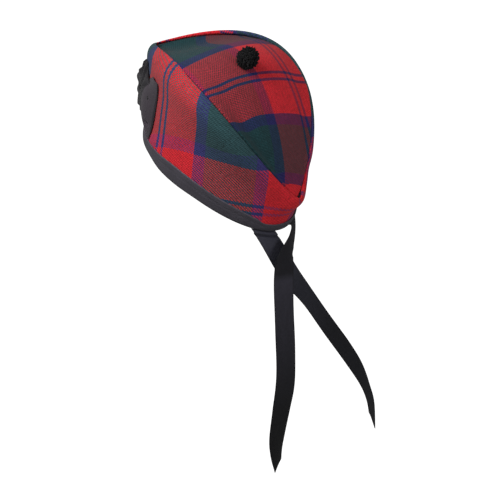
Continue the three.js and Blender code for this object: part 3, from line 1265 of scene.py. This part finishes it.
@dataclass
class TartanCrown(ClothPiece):
    """The leaf-shaped crown, sewn in behind the ridge in front and lapping over it towards the rear."""

    suffix: ClassVar[str] = "_cloth"
    held: ClassVar[Hold] = Hold.STRETCHED
    rests_on: ClassVar[tuple[str, ...]] = ("side_left",)
    along_steps: int = 220
    across_steps: int = 90
    depth: float = 2.2
    tip_angle: float = 0.04
    sett_start: float = 0.12
    tip_inset: float = 3.4
    edge_inset: Curve = Curve((0, 0.28, 0.42, 0.9, 1), (2.4, 2.4, 0.7, 0.7, 1.8))
    lift: Curve = Curve((0, 0.26, 0.4, 0.54, 0.72, 0.88, 1), (-1.5, -1.5, 0.0, 0.2, 0.8, 0.8, 0.2))
    dome: Curve = Curve((0, 0.12, 0.26, 0.38, 0.54, 0.72, 0.88, 1), (-3, -11, 0, 12, 14, 7, 1, 0))
    left_groove: Curve = Curve((0, 0.26, 0.38, 0.54, 0.72, 0.88, 1), (0, 0, 0, 2.5, 6, 4, 0))
    right_groove: Curve = Curve((0, 0.38, 0.54, 0.72, 0.88, 1), (0, 0, 1, 2, 2, 0))
    groove_place: float = 0.78
    groove_spread: float = 0.16
    turn_under: float = 6.0
    turn_steps: int = 8
    turn_inset: float = 2.3
    turn_ease: float = 0.4
    least_half: float = 0.3
    right_drop: Curve = Curve((0, 0.08, 0.2, 0.4, 0.55, 0.7, 1), (0, 1.0, 3.2, 3.4, 2.0, 0, 0))
    gather_until: float = 72.0
    gather: float = 0.62
    sett: Sett = Sett(
        (125, 0), (-43.7, 17.2, -89.3, 2.5, -20.0, -7.0, 9.2), (-34.2, 90.9, 11.6, 18.2, 13.3, 2.2, -4.5)
    )
    flat: tuple[float, float] = (0.19, 0.32)
    flat_area: float = 0.037

    def point(self, angle: Array, across: Array) -> Array:
        """The crown's top face: the seam's chord raised by a dome, with a groove by each seam.

        Args:
            angle: Angle from the front, 0 to pi.
            across: From the left seam (1) to the right (-1).

        Returns:
            Points along the last axis.
        """
        angle, across = np.broadcast_arrays(angle, across)
        along = to_rear(angle)
        edge = self.cap.seam(angle, self.edge_inset(along), self.tip_inset)
        groove = np.where(across > 0, self.left_groove(along), self.right_groove(along))
        hollow = groove * bell(np.abs(across) - self.groove_place, self.groove_spread)
        height = edge[..., 2] + self.lift(along) + self.dome(along) * (1 - across**2) - hollow
        height = height - self.right_drop(along) * ((1 - across) / 2) ** 2
        return np.stack([edge[..., 0] * across, edge[..., 1], height], -1)

    def columns(self) -> tuple[Array, Array]:
        """Places across the crown from left to right, with the allowance that turns under at each edge.

        Returns:
            Across from 1 to -1, and the share of the turn under, 0 on the top face.
        """
        top = 1 - 2 * crowded_ends(self.across_steps)[0]
        turn = np.linspace(1, 0, self.turn_steps, endpoint=False)
        across = np.concatenate([np.ones(self.turn_steps), top, -np.ones(self.turn_steps)])
        turned = np.concatenate([turn, np.zeros(self.across_steps), turn[::-1]])
        return across[None, :], turned[None, :]

    def sheet(self) -> Sheet:
        """The crown's middle surface.

        Returns:
            The sheet.
        """
        angle = np.linspace(self.tip_angle, math.pi - self.tip_angle, self.along_steps)[:, None]
        across, turned = self.columns()
        points = self.point(angle, across)
        along = to_rear(angle)
        inset = (self.turn_inset - self.edge_inset(along)) * eased(turned, 0, self.turn_ease)
        room = np.maximum(np.abs(points[..., 0]) - self.least_half, 0)
        points[..., 0] -= np.sign(across) * np.minimum(inset, room)
        points[..., 2] -= self.turn_under * turned
        fine = np.linspace(self.tip_angle, math.pi - self.tip_angle, FINE_STEPS)
        run = path_length(self.point(fine, np.array(0.0)))
        s = np.interp(angle, fine, run) - np.interp(self.sett_start, fine, run)
        gathered = s + self.gather * np.maximum(self.gather_until - s, 0)
        x = points[..., 0]
        warp = self.sett.lay(s + 0 * across, x)[..., 0]
        weft = self.sett.lay(gathered + 0 * across, x)[..., 1]
        cloth = np.stack([warp, weft, s + 0 * across, x], -1)
        points[..., 2] -= self.depth / 2
        return Sheet(self.cap.tip_back(points), cloth)

    def half(self) -> float:
        """Half the crown's thickness."""
        return self.depth / 2


@dataclass
class RimBand(ClothPiece):
    """The ribbon band folded over the rim: down the inside, round the edge and up the outside."""

    suffix: ClassVar[str] = "_ribbon_fold"
    held: ClassVar[Hold] = Hold.FOLDED
    rests_on: ClassVar[tuple[str, ...]] = ("side_left", "side_right")
    around: int = 420
    rows: int = 44
    turn_up: float = 8.0
    fold_share: float = 0.16
    inside_share: float = 0.22
    pad: float = 0.5
    crease: float = 0.45
    crease_place: float = 0.6
    crease_spread: float = 0.07
    slack: Curve = Curve((0, 0.95, 1.25, 1.5, 1.85, math.pi), (0, 0, 1.8, 1.6, 0, 0))
    slack_drop: float = 0.6
    height: Curve = Curve(
        (0, 1, 1.5, 2.2, 2.55, 2.7, math.pi), (11.5, 12, 18.5, 17, 12.5, 8.5, 9.5)
    )
    flat: tuple[float, float] = (0.03, 0.585)

    def sheet(self) -> Sheet:
        """The band's middle surface: a straight inside, a half round under the rim and the outside.

        Returns:
            The sheet, a ring.
        """
        angle = ring_turns(self.around)
        w = crowded_ends(self.rows)
        stand = self.cap.gap + self.cap.ribbon / 2
        inner = -self.cap.cloth - stand
        from_front = np.arccos(np.cos(angle))
        tall = self.height(from_front)
        inside = np.clip(w / self.inside_share, 0, 1)
        under = np.clip((w - self.inside_share) / self.fold_share, 0, 1)
        folded = self.inside_share + self.fold_share
        outside = np.clip((w - folded) / (1 - folded), 0, 1)
        middle = (stand + inner) / 2
        round_half = (stand - inner) / 2
        offset = middle - round_half * np.cos(math.pi * under)
        crease = self.crease * bell(outside - self.crease_place, self.crease_spread)
        puff = self.pad * np.sin(math.pi * outside) - crease
        loose = self.slack(from_front) * under * (1 - outside)
        offset = offset + puff + loose
        level = self.turn_up * (1 - inside) - stand * np.sin(math.pi * under) + tall * outside
        level = level - self.slack_drop * loose
        points = self.cap.over_side(angle + 0 * w, level, offset)
        length = path_length(np.concatenate([self.cap.rim(angle[:, 0]), self.cap.rim(np.zeros(1))]))
        cloth = np.stack(np.broadcast_arrays(length[:, None], w), -1)
        return Sheet(self.cap.tip_back(points), cloth, ring=True)

    def half(self) -> Array:
        """Half the ribbon's thickness."""
        return ribbon_half(self.rows, self.cap.ribbon / 2)


@dataclass(frozen=True)
class TailRow:
    """A place on a tail's middle line in the row's frame, and the way its face looks.

    The way is an angle from +X, in degrees.
    """

    x: float
    y: float
    z: float
    face: float


@dataclass
class Tail(ClothPiece):
    """A ribbon tail that hangs from under the band, its top and its end cut on the slant."""

    suffix: ClassVar[str] = "_ribbon"
    held: ClassVar[Hold] = Hold.HUNG
    rests_on: ClassVar[tuple[str, ...]] = ("band",)
    rows: tuple[TailRow, ...] = ()
    root_left: float = 0.0
    root_right: float = 0.0
    top_slant: float = 0.0
    end_slant: float = 0.0
    width: float = 25.0
    thickness: float = 1.0
    drop: float = 2.4
    tuck_in: float = 1.0
    hold: float = 40.0
    pleat: float = 0.0
    pleat_place: float = 6.5
    pleat_spread: float = 2.4
    pleat_dip: float = 1.3
    dip_spread: float = 1.5
    long_steps: int = 260
    across_steps: int = 26
    path_steps: int = 60
    wave: float = 0.5
    wave_lengths: tuple[float, float] = (16.0, 37.0)
    wave_skew: float = 2.0
    wave_from: tuple[float, float] = (20.0, 60.0)
    flat: tuple[float, float] = (0.025, 0.32)

    def path(self) -> tuple[Array, Array]:
        """The tail's middle line: a centripetal Catmull-Rom curve through its rows.

        Returns:
            Closely spaced points, and the row index that each lies at.
        """
        knots = np.array([(row.x, row.y, row.z) for row in self.rows])
        before = 2 * knots[0] - knots[1]
        after = 2 * knots[-1] - knots[-2]
        line = np.concatenate([[before], knots, [after]])
        pace = np.sqrt(np.linalg.norm(np.diff(line, axis=0), axis=-1))[:, None]
        p0, p1, p2, p3 = line[:-3], line[1:-2], line[2:-1], line[3:]
        d0, d1, d2 = pace[:-2], pace[1:-1], pace[2:]
        leave = ((p1 - p0) / d0 - (p2 - p0) / (d0 + d1) + (p2 - p1) / d1) * d1
        arrive = ((p2 - p1) / d1 - (p3 - p1) / (d1 + d2) + (p3 - p2) / d2) * d1
        t = np.linspace(0, 1, self.path_steps, endpoint=False)[None, :, None]
        p1, p2, leave, arrive = (part[:, None, :] for part in (p1, p2, leave, arrive))
        square, cube = t * t, t**3
        curve = p1 * (2 * cube - 3 * square + 1) + p2 * (3 * square - 2 * cube)
        curve = curve + leave * (cube - 2 * square + t) + arrive * (cube - square)
        points = np.concatenate([curve.reshape(-1, 3), knots[-1:]])
        return points, np.arange(len(points)) / self.path_steps

    def sheet(self) -> Sheet:
        """The tail's middle surface: its line, spread across by the breadth that its face leaves.

        Returns:
            The sheet.
        """
        line, index = self.path()
        run = path_length(line)
        faces = Curve(tuple(range(len(self.rows))), tuple(row.face for row in self.rows))
        face = np.radians(faces(index))
        down = unit(np.gradient(line, axis=0))
        looks = np.stack([np.cos(face), np.sin(face), 0 * face], -1)
        breadth = unit(np.cross(looks, down))
        normal = np.cross(down, breadth)
        v = crowded_ends(self.across_steps)
        u = np.linspace(0, 1, self.long_steps)[:, None]
        across = v - MIDDLE
        start = abs(self.top_slant) / 2 + self.top_slant * across
        end = run[-1] - abs(self.end_slant) / 2 - self.end_slant * across
        distance = (end - start) * u

        def place(at: Array) -> tuple[Array, Array]:
            """Points and normals of the ribbon at distances along its line."""
            spread = read_along(breadth, run, at) * (self.width * across)[..., None]
            return read_along(line, run, at) + spread, read_along(normal, run, at)

        points, looks_out = place(start + distance)
        root_angle = self.root_left + (self.root_right - self.root_left) * v[0]
        root = self.cap.over_side(root_angle, -self.drop, -self.tuck_in)
        pull = self.cap.tip_back(root)[None] - place(start)[0]
        held = np.maximum(1 - distance / self.hold, 0) ** 2
        lip = bell(distance - self.pleat_place / 2, self.pleat_spread)
        dip = self.pleat_dip * bell(distance - self.pleat_place, self.dip_spread)
        first = np.sin(distance / self.wave_lengths[0])
        second = np.sin(distance / self.wave_lengths[1] + self.wave_skew * across)
        ripple = self.wave * first * second * eased(distance, *self.wave_from)
        stand = self.pleat * (lip - dip) + ripple
        points = points + pull * held[..., None] + looks_out * stand[..., None]
        cloth = np.stack(np.broadcast_arrays(start + distance, v), -1)
        return Sheet(points, cloth)

    def half(self) -> Array:
        """Half the ribbon's thickness."""
        return ribbon_half(self.across_steps, self.thickness / 2)


@dataclass
class Toorie(Piece):
    """The pompom: a core, painted dark as shade, covered in blunt tufts of wool."""

    crown: TartanCrown | None = None
    along: float = 0.505
    across: float = 0.205
    centre_height: float = 11.0
    stretch: float = 1.16
    core_radius: float = 9.6
    reach: float = 12.3
    uneven: float = 1.0
    tufts: int = 380
    tuft_stray: float = 0.05
    tuft_root: float = 0.6
    tuft_base: float = 0.6
    tuft_tip: float = 1.5
    blunt_from: float = 0.55
    blunt_least: float = 0.02
    tuft_sizes: tuple[float, float] = (0.75, 1.2)
    bend: float = 2.0
    bend_shares: tuple[float, float] = (0.2, 1.0)
    seed: int = 7
    sides: int = 6
    rings: int = 6
    core_turns: int = 32
    core_levels: int = 18
    core_rise: float = 1.55

    def spot(self) -> tuple[Array, Array]:
        """The pompom's centre and its upward axis over the crown.

        Returns:
            The centre and a unit vector, both in the cap's level frame.
        """
        angle = np.array(math.acos(1 - 2 * self.along))
        across = np.array(self.across)
        step = SLOPE_STEP
        rear = self.crown.point(angle + step, across) - self.crown.point(angle - step, across)
        left = self.crown.point(angle, across + step) - self.crown.point(angle, across - step)
        axis = unit(np.cross(left, rear))
        foot = self.crown.point(angle, across)
        return foot + axis * (self.centre_height + self.cap.gap), axis

    def tuft_loops(self) -> tuple[Array, Array]:
        """The tufts: bent tubes that swell to a blunt tip, spread over a ball by the golden angle.

        Returns:
            Points (tuft, ring, side, 3) about the centre and a root-to-tip share (tuft, ring).
        """
        rng = np.random.default_rng(self.seed)
        index = np.arange(self.tufts) + MIDDLE
        height = 1 - 2 * index / self.tufts
        turn = GOLDEN_ANGLE * index
        ring = np.sqrt(1 - height**2)
        way = np.stack([ring * np.cos(turn), ring * np.sin(turn), height], -1)
        way = unit(way + rng.normal(0, self.tuft_stray, way.shape))
        aside = unit(np.cross(way, unit(rng.normal(0, 1, way.shape))))
        other = np.cross(way, aside)
        share = np.linspace(0, 1, self.rings)
        long = self.reach + rng.uniform(-self.uneven, self.uneven, self.tufts)
        start = self.tuft_root * self.core_radius
        along = start + (long[:, None] - start) * share
        lean = self.bend * share**2 * rng.uniform(*self.bend_shares, (self.tufts, 1))
        middle = way[:, None] * along[..., None] + aside[:, None] * lean[..., None]
        swell = self.tuft_base + (self.tuft_tip - self.tuft_base) * np.sin(math.pi / 2 * share)
        blunt = np.maximum((share - self.blunt_from) / (1 - self.blunt_from), 0)
        thick = swell * np.sqrt(np.clip(1 - blunt**2, self.blunt_least, 1))
        thick = thick * rng.uniform(*self.tuft_sizes, (self.tufts, 1))
        spin = ring_turns(self.sides)
        circle = aside[:, None] * np.cos(spin) + other[:, None] * np.sin(spin)
        points = middle[:, :, None] + circle[:, None] * thick[..., None, None]
        return points, np.broadcast_to(share, (self.tufts, self.rings))

    def build(self, material: bpy.types.Material) -> bpy.types.Object:
        """Makes the pompom.

        Args:
            material: The wool.

        Returns:
            The dressed pompom.
        """
        tufts, share = self.tuft_loops()
        count, rings, sides = tufts.shape[:3]
        t, r, k = np.meshgrid(np.arange(count), np.arange(rings - 1), np.arange(sides), indexing="ij")
        after = (k + 1) % sides

        def corner(level: Array, side: Array) -> Array:
            """The index of a tuft's point on a ring."""
            return (t * rings + level) * sides + side

        walls = np.stack([corner(r, k), corner(r, after), corner(r + 1, after), corner(r + 1, k)], -1)
        tone = np.stack([share[t, r], share[t, r], share[t, r + 1], share[t, r + 1]], -1)
        first = np.arange(count)[:, None, None] * rings * sides
        roots = (first + ring_cap(sides)[:, ::-1]).reshape(-1, 4)
        tips = (first + (rings - 1) * sides + ring_cap(sides)).reshape(-1, 4)
        faces = np.concatenate([walls.reshape(-1, 4), roots, tips])
        # Tones run from the root, painted shade, to the tip, painted highlight.
        tones = np.concatenate([tone.reshape(-1, 4), np.zeros(roots.shape), np.ones(tips.shape)])
        cloth = np.stack([tones, np.zeros_like(tones)], -1)
        ball = tufts.reshape(-1, 3)
        core, core_faces = self.core()
        faces = np.concatenate([faces, core_faces + len(ball)])
        # The core takes the roots' colour: painted shade inside the ball.
        cloth = np.concatenate([cloth, np.zeros((len(core_faces), 4, 2))])
        ball = np.concatenate([ball, core])
        ball = ball * np.array([1, 1, self.stretch])
        ball[:, 2] = np.maximum(ball[:, 2], -self.centre_height)
        centre, axis = self.spot()
        side = unit(np.cross(np.array([0.0, 1.0, 0.0]), axis))
        turned = ball[:, :1] * side + ball[:, 1:2] * np.cross(axis, side) + ball[:, 2:] * axis
        made = mesh_object("toorie_wool_ball", self.cap.tip_back(turned + centre), faces, cloth)
        return self.dress(made, material)

    def core(self) -> tuple[Array, Array]:
        """The core, painted dark as shade: a ball on a grid of turns and heights, its poles drawn to a
        small ring.

        Returns:
            Its points about the centre and its faces.
        """
        turns, levels = self.core_turns, self.core_levels
        turn = ring_turns(turns)
        rise = np.linspace(-self.core_rise, self.core_rise, levels)[None, :]
        flat = np.cos(rise) * self.core_radius
        high = np.sin(rise) * self.core_radius + 0 * turn
        points = np.stack([flat * np.cos(turn), flat * np.sin(turn), high], -1)
        i, j = np.meshgrid(np.arange(turns), np.arange(levels - 1), indexing="ij")
        here, after = i * levels + j, (i + 1) % turns * levels + j
        faces = np.stack([here, after, after + 1, here + 1], -1)
        top = ring_cap(turns) * levels + levels - 1
        bottom = ring_cap(turns)[:, ::-1] * levels
        return points.reshape(-1, 3), np.concatenate([faces.reshape(-1, 4), top, bottom])


@dataclass
class CockadeTab(ClothPiece):
    """The cockade's flap: ribbon that lies on the left side and puffs out in its middle."""

    suffix: ClassVar[str] = "_flap"
    held: ClassVar[Hold] = Hold.LAID
    rests_on: ClassVar[tuple[str, ...]] = ("side_left",)
    across_steps: int = 60
    up_steps: int = 90
    puff: Curve = Curve((13.5, 22, 34, 48, 64, 78, 90.5), (2.5, 6.5, 9.0, 9.0, 8.0, 6.0, 4.0))
    dents: tuple[Hump, ...] = (Hump(4.5, 76, 0.22, 2.2, 0.14), Hump(5.5, 31, 0.74, 2.4, 0.09))
    spread: float = 0.49
    front: Curve = Curve(
        (13.5, 29, 48, 64, 74, 83, 88, 90.5), (0.74, 0.56, 0.46, 0.5, 0.65, 0.77, 0.835, 0.86)
    )
    rear: Curve = Curve(
        (13.5, 29, 48, 64, 74, 83, 88, 90.5), (0.87, 0.92, 0.95, 0.97, 0.985, 0.99, 0.99, 0.985)
    )
    flat: tuple[float, float] = (0.045, 0.08)
    flat_area: float = 0.0031

    def sheet(self) -> Sheet:
        """The tab's middle surface, raised by a sine across it.

        Returns:
            The sheet.
        """
        u = crowded_ends(self.across_steps).T
        low, high = self.front.at[0], self.front.at[-1]
        height = low + (high - low) * crowded_ends(self.up_steps)
        front, rear = self.front(height), self.rear(height)
        puff = self.puff(height) * np.sin(math.pi * u) * (rear - front) / self.spread
        puff = np.maximum(puff - sum(dent(height, u) for dent in self.dents), 0)
        stand = self.cap.gap + self.cap.ribbon / 2 + puff
        points = self.cap.over_side(front + (rear - front) * u, height, stand)
        cloth = np.stack(np.broadcast_arrays(height + 0 * u, u), -1)
        return Sheet(self.cap.tip_back(points), cloth)

    def half(self) -> Array:
        """Half the ribbon's thickness."""
        return ribbon_half(self.up_steps, self.cap.ribbon / 2)


@dataclass
class CockadeRosette(ClothPiece):
    """The cockade's rosette: a ruffle of gathered ribbon over another, joined by a knot."""

    suffix: ClassVar[str] = "_ruffle"
    held: ClassVar[Hold] = Hold.GATHERED
    rests_on: ClassVar[tuple[str, ...]] = ("cockade_tab",)
    around: int = 320
    rows: int = 26
    angle: float = 0.58
    height: float = 64.0
    arc: float = 92.0
    tall: float = 1.13
    pleats: int = 10
    pleat_depth: float = 1.1
    pleat_swing: float = 0.04
    pleat_drift: float = 0.5
    lean: Curve = Curve((-1, -0.6, -0.2, 0.2, 0.6, 1), (0.6, 2.8, 3.6, 2.2, -1.6, -7.0))
    tuck: float = 7.0
    eyelet: float = 0.08
    taper: float = 0.72
    taper_over: tuple[float, float] = (0.1, 0.65)
    seat: float = 5.2
    outer_radius: float = 26.5
    inner_radius: float = 24.5
    inner_base: float = 1.6
    inner_lift: float = 1.6
    outer_lift: float = 0.6
    thickness: float = 1.0
    flat: tuple[float, float] = (0.055, 0.09)

    def sheet(self) -> Sheet:
        """The rosette's middle surface: from the eyelet out over the upper ruffle and back by the lower.

        Returns:
            The sheet, a ring.
        """
        turn = ring_turns(self.around)
        w = np.linspace(0, 1, self.rows)[None, :]
        upper = w > MIDDLE
        out = self.eyelet + (1 - self.eyelet) * np.where(upper, 2 - 2 * w, 2 * w)
        wide = np.where(upper, self.inner_radius, self.outer_radius)
        pleat = np.cos(self.pleats * turn + self.pleat_drift * np.sin(2 * turn))
        radius = wide * out * (1 + self.pleat_swing * pleat * out)
        ruffle = self.pleat_depth * (1 + pleat) * out
        base = np.where(upper, self.inner_base + self.inner_lift * out**2, self.outer_lift * out**2)
        tucked = self.tuck * np.maximum(np.cos(turn) * out, 0)
        stand = self.seat + base + ruffle + self.lean(np.sin(turn) * out) + self.cap.ribbon / 2 - tucked
        stand = np.maximum(stand, self.cap.gap + self.cap.ribbon)
        narrow = 1 - self.taper * eased(np.sin(turn) * out, *self.taper_over)
        points = self.cap.over_side(
            self.angle + radius * np.cos(turn) * narrow / self.arc,
            self.height + radius * np.sin(turn) * self.tall,
            stand,
        )
        long = np.linspace(0, 2 * math.pi * self.outer_radius, self.around + 1)[:, None]
        cloth = np.stack(np.broadcast_arrays(long, w), -1)
        return Sheet(self.cap.tip_back(points), cloth, ring=True)

    def half(self) -> float:
        """Half the ribbon's thickness."""
        return self.thickness / 2


@dataclass
class Studio:
    """The floor, the soft lights and the camera."""

    floor_level_m: float = -0.62
    floor_half_m: float = 14.0
    floor_grey: tuple = (0.4, 0.4, 0.4, 1)
    floor_roughness: float = 0.9
    floor_glow: float = 1.0
    camera_at_m: tuple[float, float, float] = (1.3023, 0.9917, 0.6259)
    azimuth: float = 126.017
    elevation: float = 23.948
    lens: float = 106.95
    sensor: float = 36.0
    world_grey: tuple = (0.25, 0.25, 0.25, 1)
    lamp_side_m: float = 0.5
    key_watts: float = 6.1
    key_place_m: tuple[float, float, float] = (-0.42, 0.4, 0.68)
    fill_watts: float = 4.0
    fill_place_m: tuple[float, float, float] = (1.1, -0.35, 0.9)

    def axes(self) -> tuple[Vector, Vector, Vector]:
        """The camera's right, up and back directions.

        Returns:
            Three unit vectors.
        """
        turn, rise = math.radians(self.azimuth), math.radians(self.elevation)
        level = math.cos(rise)
        back = Vector((math.sin(turn) * level, -math.cos(turn) * level, math.sin(rise)))
        right = Vector((math.cos(turn), math.sin(turn), 0))
        return right, back.cross(right), back

    def aim(self, data: bpy.types.ID, place: Vector, way: Vector) -> bpy.types.Object:
        """Puts a camera or a light at its place and turns it to look a way.

        Args:
            data: The camera or the light.
            place: Where it stands.
            way: The direction that it looks in.

        Returns:
            Its object.
        """
        made = bpy.data.objects.new(data.name, data)
        made.location = place
        made.rotation_mode = "QUATERNION"
        made.rotation_quaternion = way.to_track_quat("-Z", "Y")
        bpy.context.scene.collection.objects.link(made)
        return made

    def camera(self) -> None:
        """Sets up the camera at the photograph's angle."""
        data = bpy.data.cameras.new("camera")
        data.lens = self.lens
        data.sensor_width = self.sensor
        bpy.context.scene.camera = self.aim(data, Vector(self.camera_at_m), -self.axes()[2])

    def lamp(self, name: str, place_m: tuple[float, float, float], watts: float) -> None:
        """Adds a square soft light that looks at the cap.

        Args:
            name: The light's name.
            place_m: Where it stands along the camera's right, up and back.
            watts: How strong it is.
        """
        right, up, back = self.axes()
        place = right * place_m[0] + up * place_m[1] + back * place_m[2]
        data = bpy.data.lights.new(name, "AREA")
        data.energy = watts
        data.size = self.lamp_side_m
        self.aim(data, place, -place)

    def seen_as(self, board: NodeBoard, unseen: tuple, seen: tuple) -> Socket:
        """One colour for the camera and another for everything else."""
        return board.mix(board.add("ShaderNodeLightPath").outputs["Is Camera Ray"], unseen, seen)

    def build(self) -> None:
        """Makes the whole studio."""
        self.camera()
        self.lamp("key_light", self.key_place_m, self.key_watts)
        self.lamp("fill_light", self.fill_place_m, self.fill_watts)
        world = bpy.data.worlds.new("studio")
        world.use_nodes = True
        sky = world.node_tree.nodes["Background"]
        board = NodeBoard(world.node_tree)
        board.feed(sky.inputs["Color"], self.seen_as(board, self.world_grey, WHITE))
        bpy.context.scene.world = world
        bpy.context.scene.view_settings.view_transform = "Standard"
        self.floor()

    def floor(self) -> None:
        """Lays a plain white floor well below the tails."""
        half, level = self.floor_half_m, self.floor_level_m
        mesh = bpy.data.meshes.new("floor")
        corners = [(-half, -half, level), (half, -half, level), (half, half, level), (-half, half, level)]
        mesh.from_pydata(corners, [], [(0, 1, 2, 3)])
        white = bpy.data.materials.new("floor_white")
        white.use_nodes = True
        shader = white.node_tree.nodes["Principled BSDF"]
        shader.inputs["Base Color"].default_value = self.floor_grey
        shader.inputs["Roughness"].default_value = self.floor_roughness
        shader.inputs["Emission Strength"].default_value = self.floor_glow
        board = NodeBoard(white.node_tree)
        board.feed(shader.inputs["Emission Color"], self.seen_as(board, BLACK, WHITE))
        mesh.materials.append(white)
        made = bpy.data.objects.new("floor", mesh)
        bpy.context.scene.collection.objects.link(made)


@dataclass
class Glengarry:
    """The whole cap and its finishes."""

    cap: CapForm = field(default_factory=CapForm)
    side_tartan: TartanFinish = TartanFinish(
        "tartan_side",
        weft_share=0.3,
        weft_swing=1.0,
        pitch_along=4.4,
        pitch_up=3.7,
        row_contrast=0.22,
        stitch_contrast=0.14,
        navy=(51, 52, 110),
        green=(40, 74, 78),
    )
    crown_tartan: TartanFinish = TartanFinish(
        "tartan_crown",
        weft_share=0.6,
        weft_swing=0.24,
        pitch_along=3.2,
        pitch_up=3.2,
        row_contrast=0.15,
        stitch_contrast=0.1,
        navy=(33, 34, 95),
        green=(19, 60, 64),
        blend_power=2.4,
    )
    # The band's lighter edge colour is a painted highlight along its top edge, and its fold factor a
    # painted shade where it turns under the rim.
    band_ribbon: RibbonFinish = RibbonFinish(
        "band_ribbon", linear(68, 65, 73), linear(84, 80, 90), roughness=0.65, fold_painted_shade=0.25
    )
    # The two tails wear lit and shaded copies of one ribbon, whose body colours and factors paint light
    # and shade: the left lighter near the band, the right darker over its twisted loop at the top, and
    # both darker lower down.
    left_ribbon: RibbonFinish = RibbonFinish(
        "tail_left_ribbon",
        linear(24, 24, 30),
        linear(17, 17, 21),
        sheen=0.04,
        top_painted_light=5.4,
        top_length=170.0,
        end_painted_shade=0.8,
    )
    right_ribbon: RibbonFinish = RibbonFinish(
        "tail_right_ribbon",
        linear(62, 60, 72),
        linear(45, 44, 53),
        sheen=0.04,
        top_painted_light=0.3,
        top_from=77.0,
        top_length=9.0,
        end_painted_shade=0.06,
        end_length=270.0,
    )
    cockade_ribbon: RibbonFinish = RibbonFinish("cockade_ribbon", linear(62, 55, 63), linear(44, 40, 46))
    # A darker copy of the cockade ribbon: painted shade on the gathered rosette.
    ruffle_ribbon: RibbonFinish = RibbonFinish("cockade_ruffle", linear(40, 38, 42), linear(22, 21, 24))
    wool: WoolFinish = WoolFinish("toorie_wool")

    def build(self) -> list[bpy.types.Object]:
        """Makes every piece in order.

        Returns:
            The pieces.
        """
        cap = self.cap
        tartan = self.side_tartan.make()
        crown = TartanCrown(cap, "crown", "tartan_crown")
        worn = (
            (TartanSide(cap, "side_left", "tartan_side", flank=Flank.LEFT), tartan),
            (TartanSide(cap, "side_right", "tartan_side", flank=Flank.RIGHT), tartan),
            (crown, self.crown_tartan.make()),
            (RimBand(cap, "band", "band_ribbon"), self.band_ribbon.make()),
            (left_tail(cap), self.left_ribbon.make()),
            (right_tail(cap), self.right_ribbon.make()),
            (Toorie(cap, "toorie", "toorie_wool", crown=crown), self.wool.make()),
            (CockadeTab(cap, "cockade_tab", "cockade_ribbon"), self.cockade_ribbon.make()),
            (CockadeRosette(cap, "cockade_rosette", "cockade_ribbon"), self.ruffle_ribbon.make()),
        )
        return [piece.build(material) for piece, material in worn]


def left_tail(cap: CapForm) -> Tail:
    """The tail from the left of the rear, which hangs out to the side.

    Args:
        cap: The cap's form.

    Returns:
        The tail.
    """
    rows = (
        TailRow(32, 85, -39, 62),
        TailRow(23.5, 91.5, -57, 64),
        TailRow(4.5, 103, -99.5, 75),
        TailRow(-13, 118.5, -134, 97),
        TailRow(-38, 139.5, -185.5, 97),
        TailRow(-64.5, 160, -239.5, 102),
        TailRow(-73, 170.5, -272, 110),
        TailRow(-77, 174.5, -294, 106),
        TailRow(-77.5, 176.5, -332.5, 105),
    )
    return Tail(
        cap,
        "tail_left",
        "tail_ribbon",
        rows=rows,
        root_left=2.55,
        root_right=2.96,
        top_slant=23,
        end_slant=-38,
        pleat=2.2,
    )


def right_tail(cap: CapForm) -> Tail:
    """The tail from the right of the rear, which loops over and hangs straight.

    Args:
        cap: The cap's form.

    Returns:
        The tail.
    """
    rows = (
        TailRow(-27, 88, -48.5, 112),
        TailRow(-22, 94.5, -57.5, 114),
        TailRow(-4, 102.5, -63.5, 104),
        TailRow(12, 107.5, -72, 79),
        TailRow(21, 109, -88, 62),
        TailRow(19.5, 111.5, -234, 59),
        TailRow(17.5, 104.5, -278.5, 63),
        TailRow(14.5, 96, -325.5, 77),
        TailRow(12.5, 94.5, -348.5, 92),
        TailRow(11.5, 96, -366.5, 107),
    )
    return Tail(
        cap,
        "tail_right",
        "tail_ribbon",
        flat=(0.025, 0.35),
        rows=rows,
        root_left=3.28,
        root_right=3.73,
        top_slant=-7,
        end_slant=6,
    )


def main() -> None:
    """Builds the studio and the cap, and reports each piece."""
    logging.basicConfig(level=logging.INFO, format="%(name)s: %(message)s")
    LOG.info("frame with %d nodes", len(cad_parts))
    Studio().build()
    pieces = Glengarry().build()
    LOG.info("%d pieces made", len(pieces))


if __name__ == "__main__":
    main()
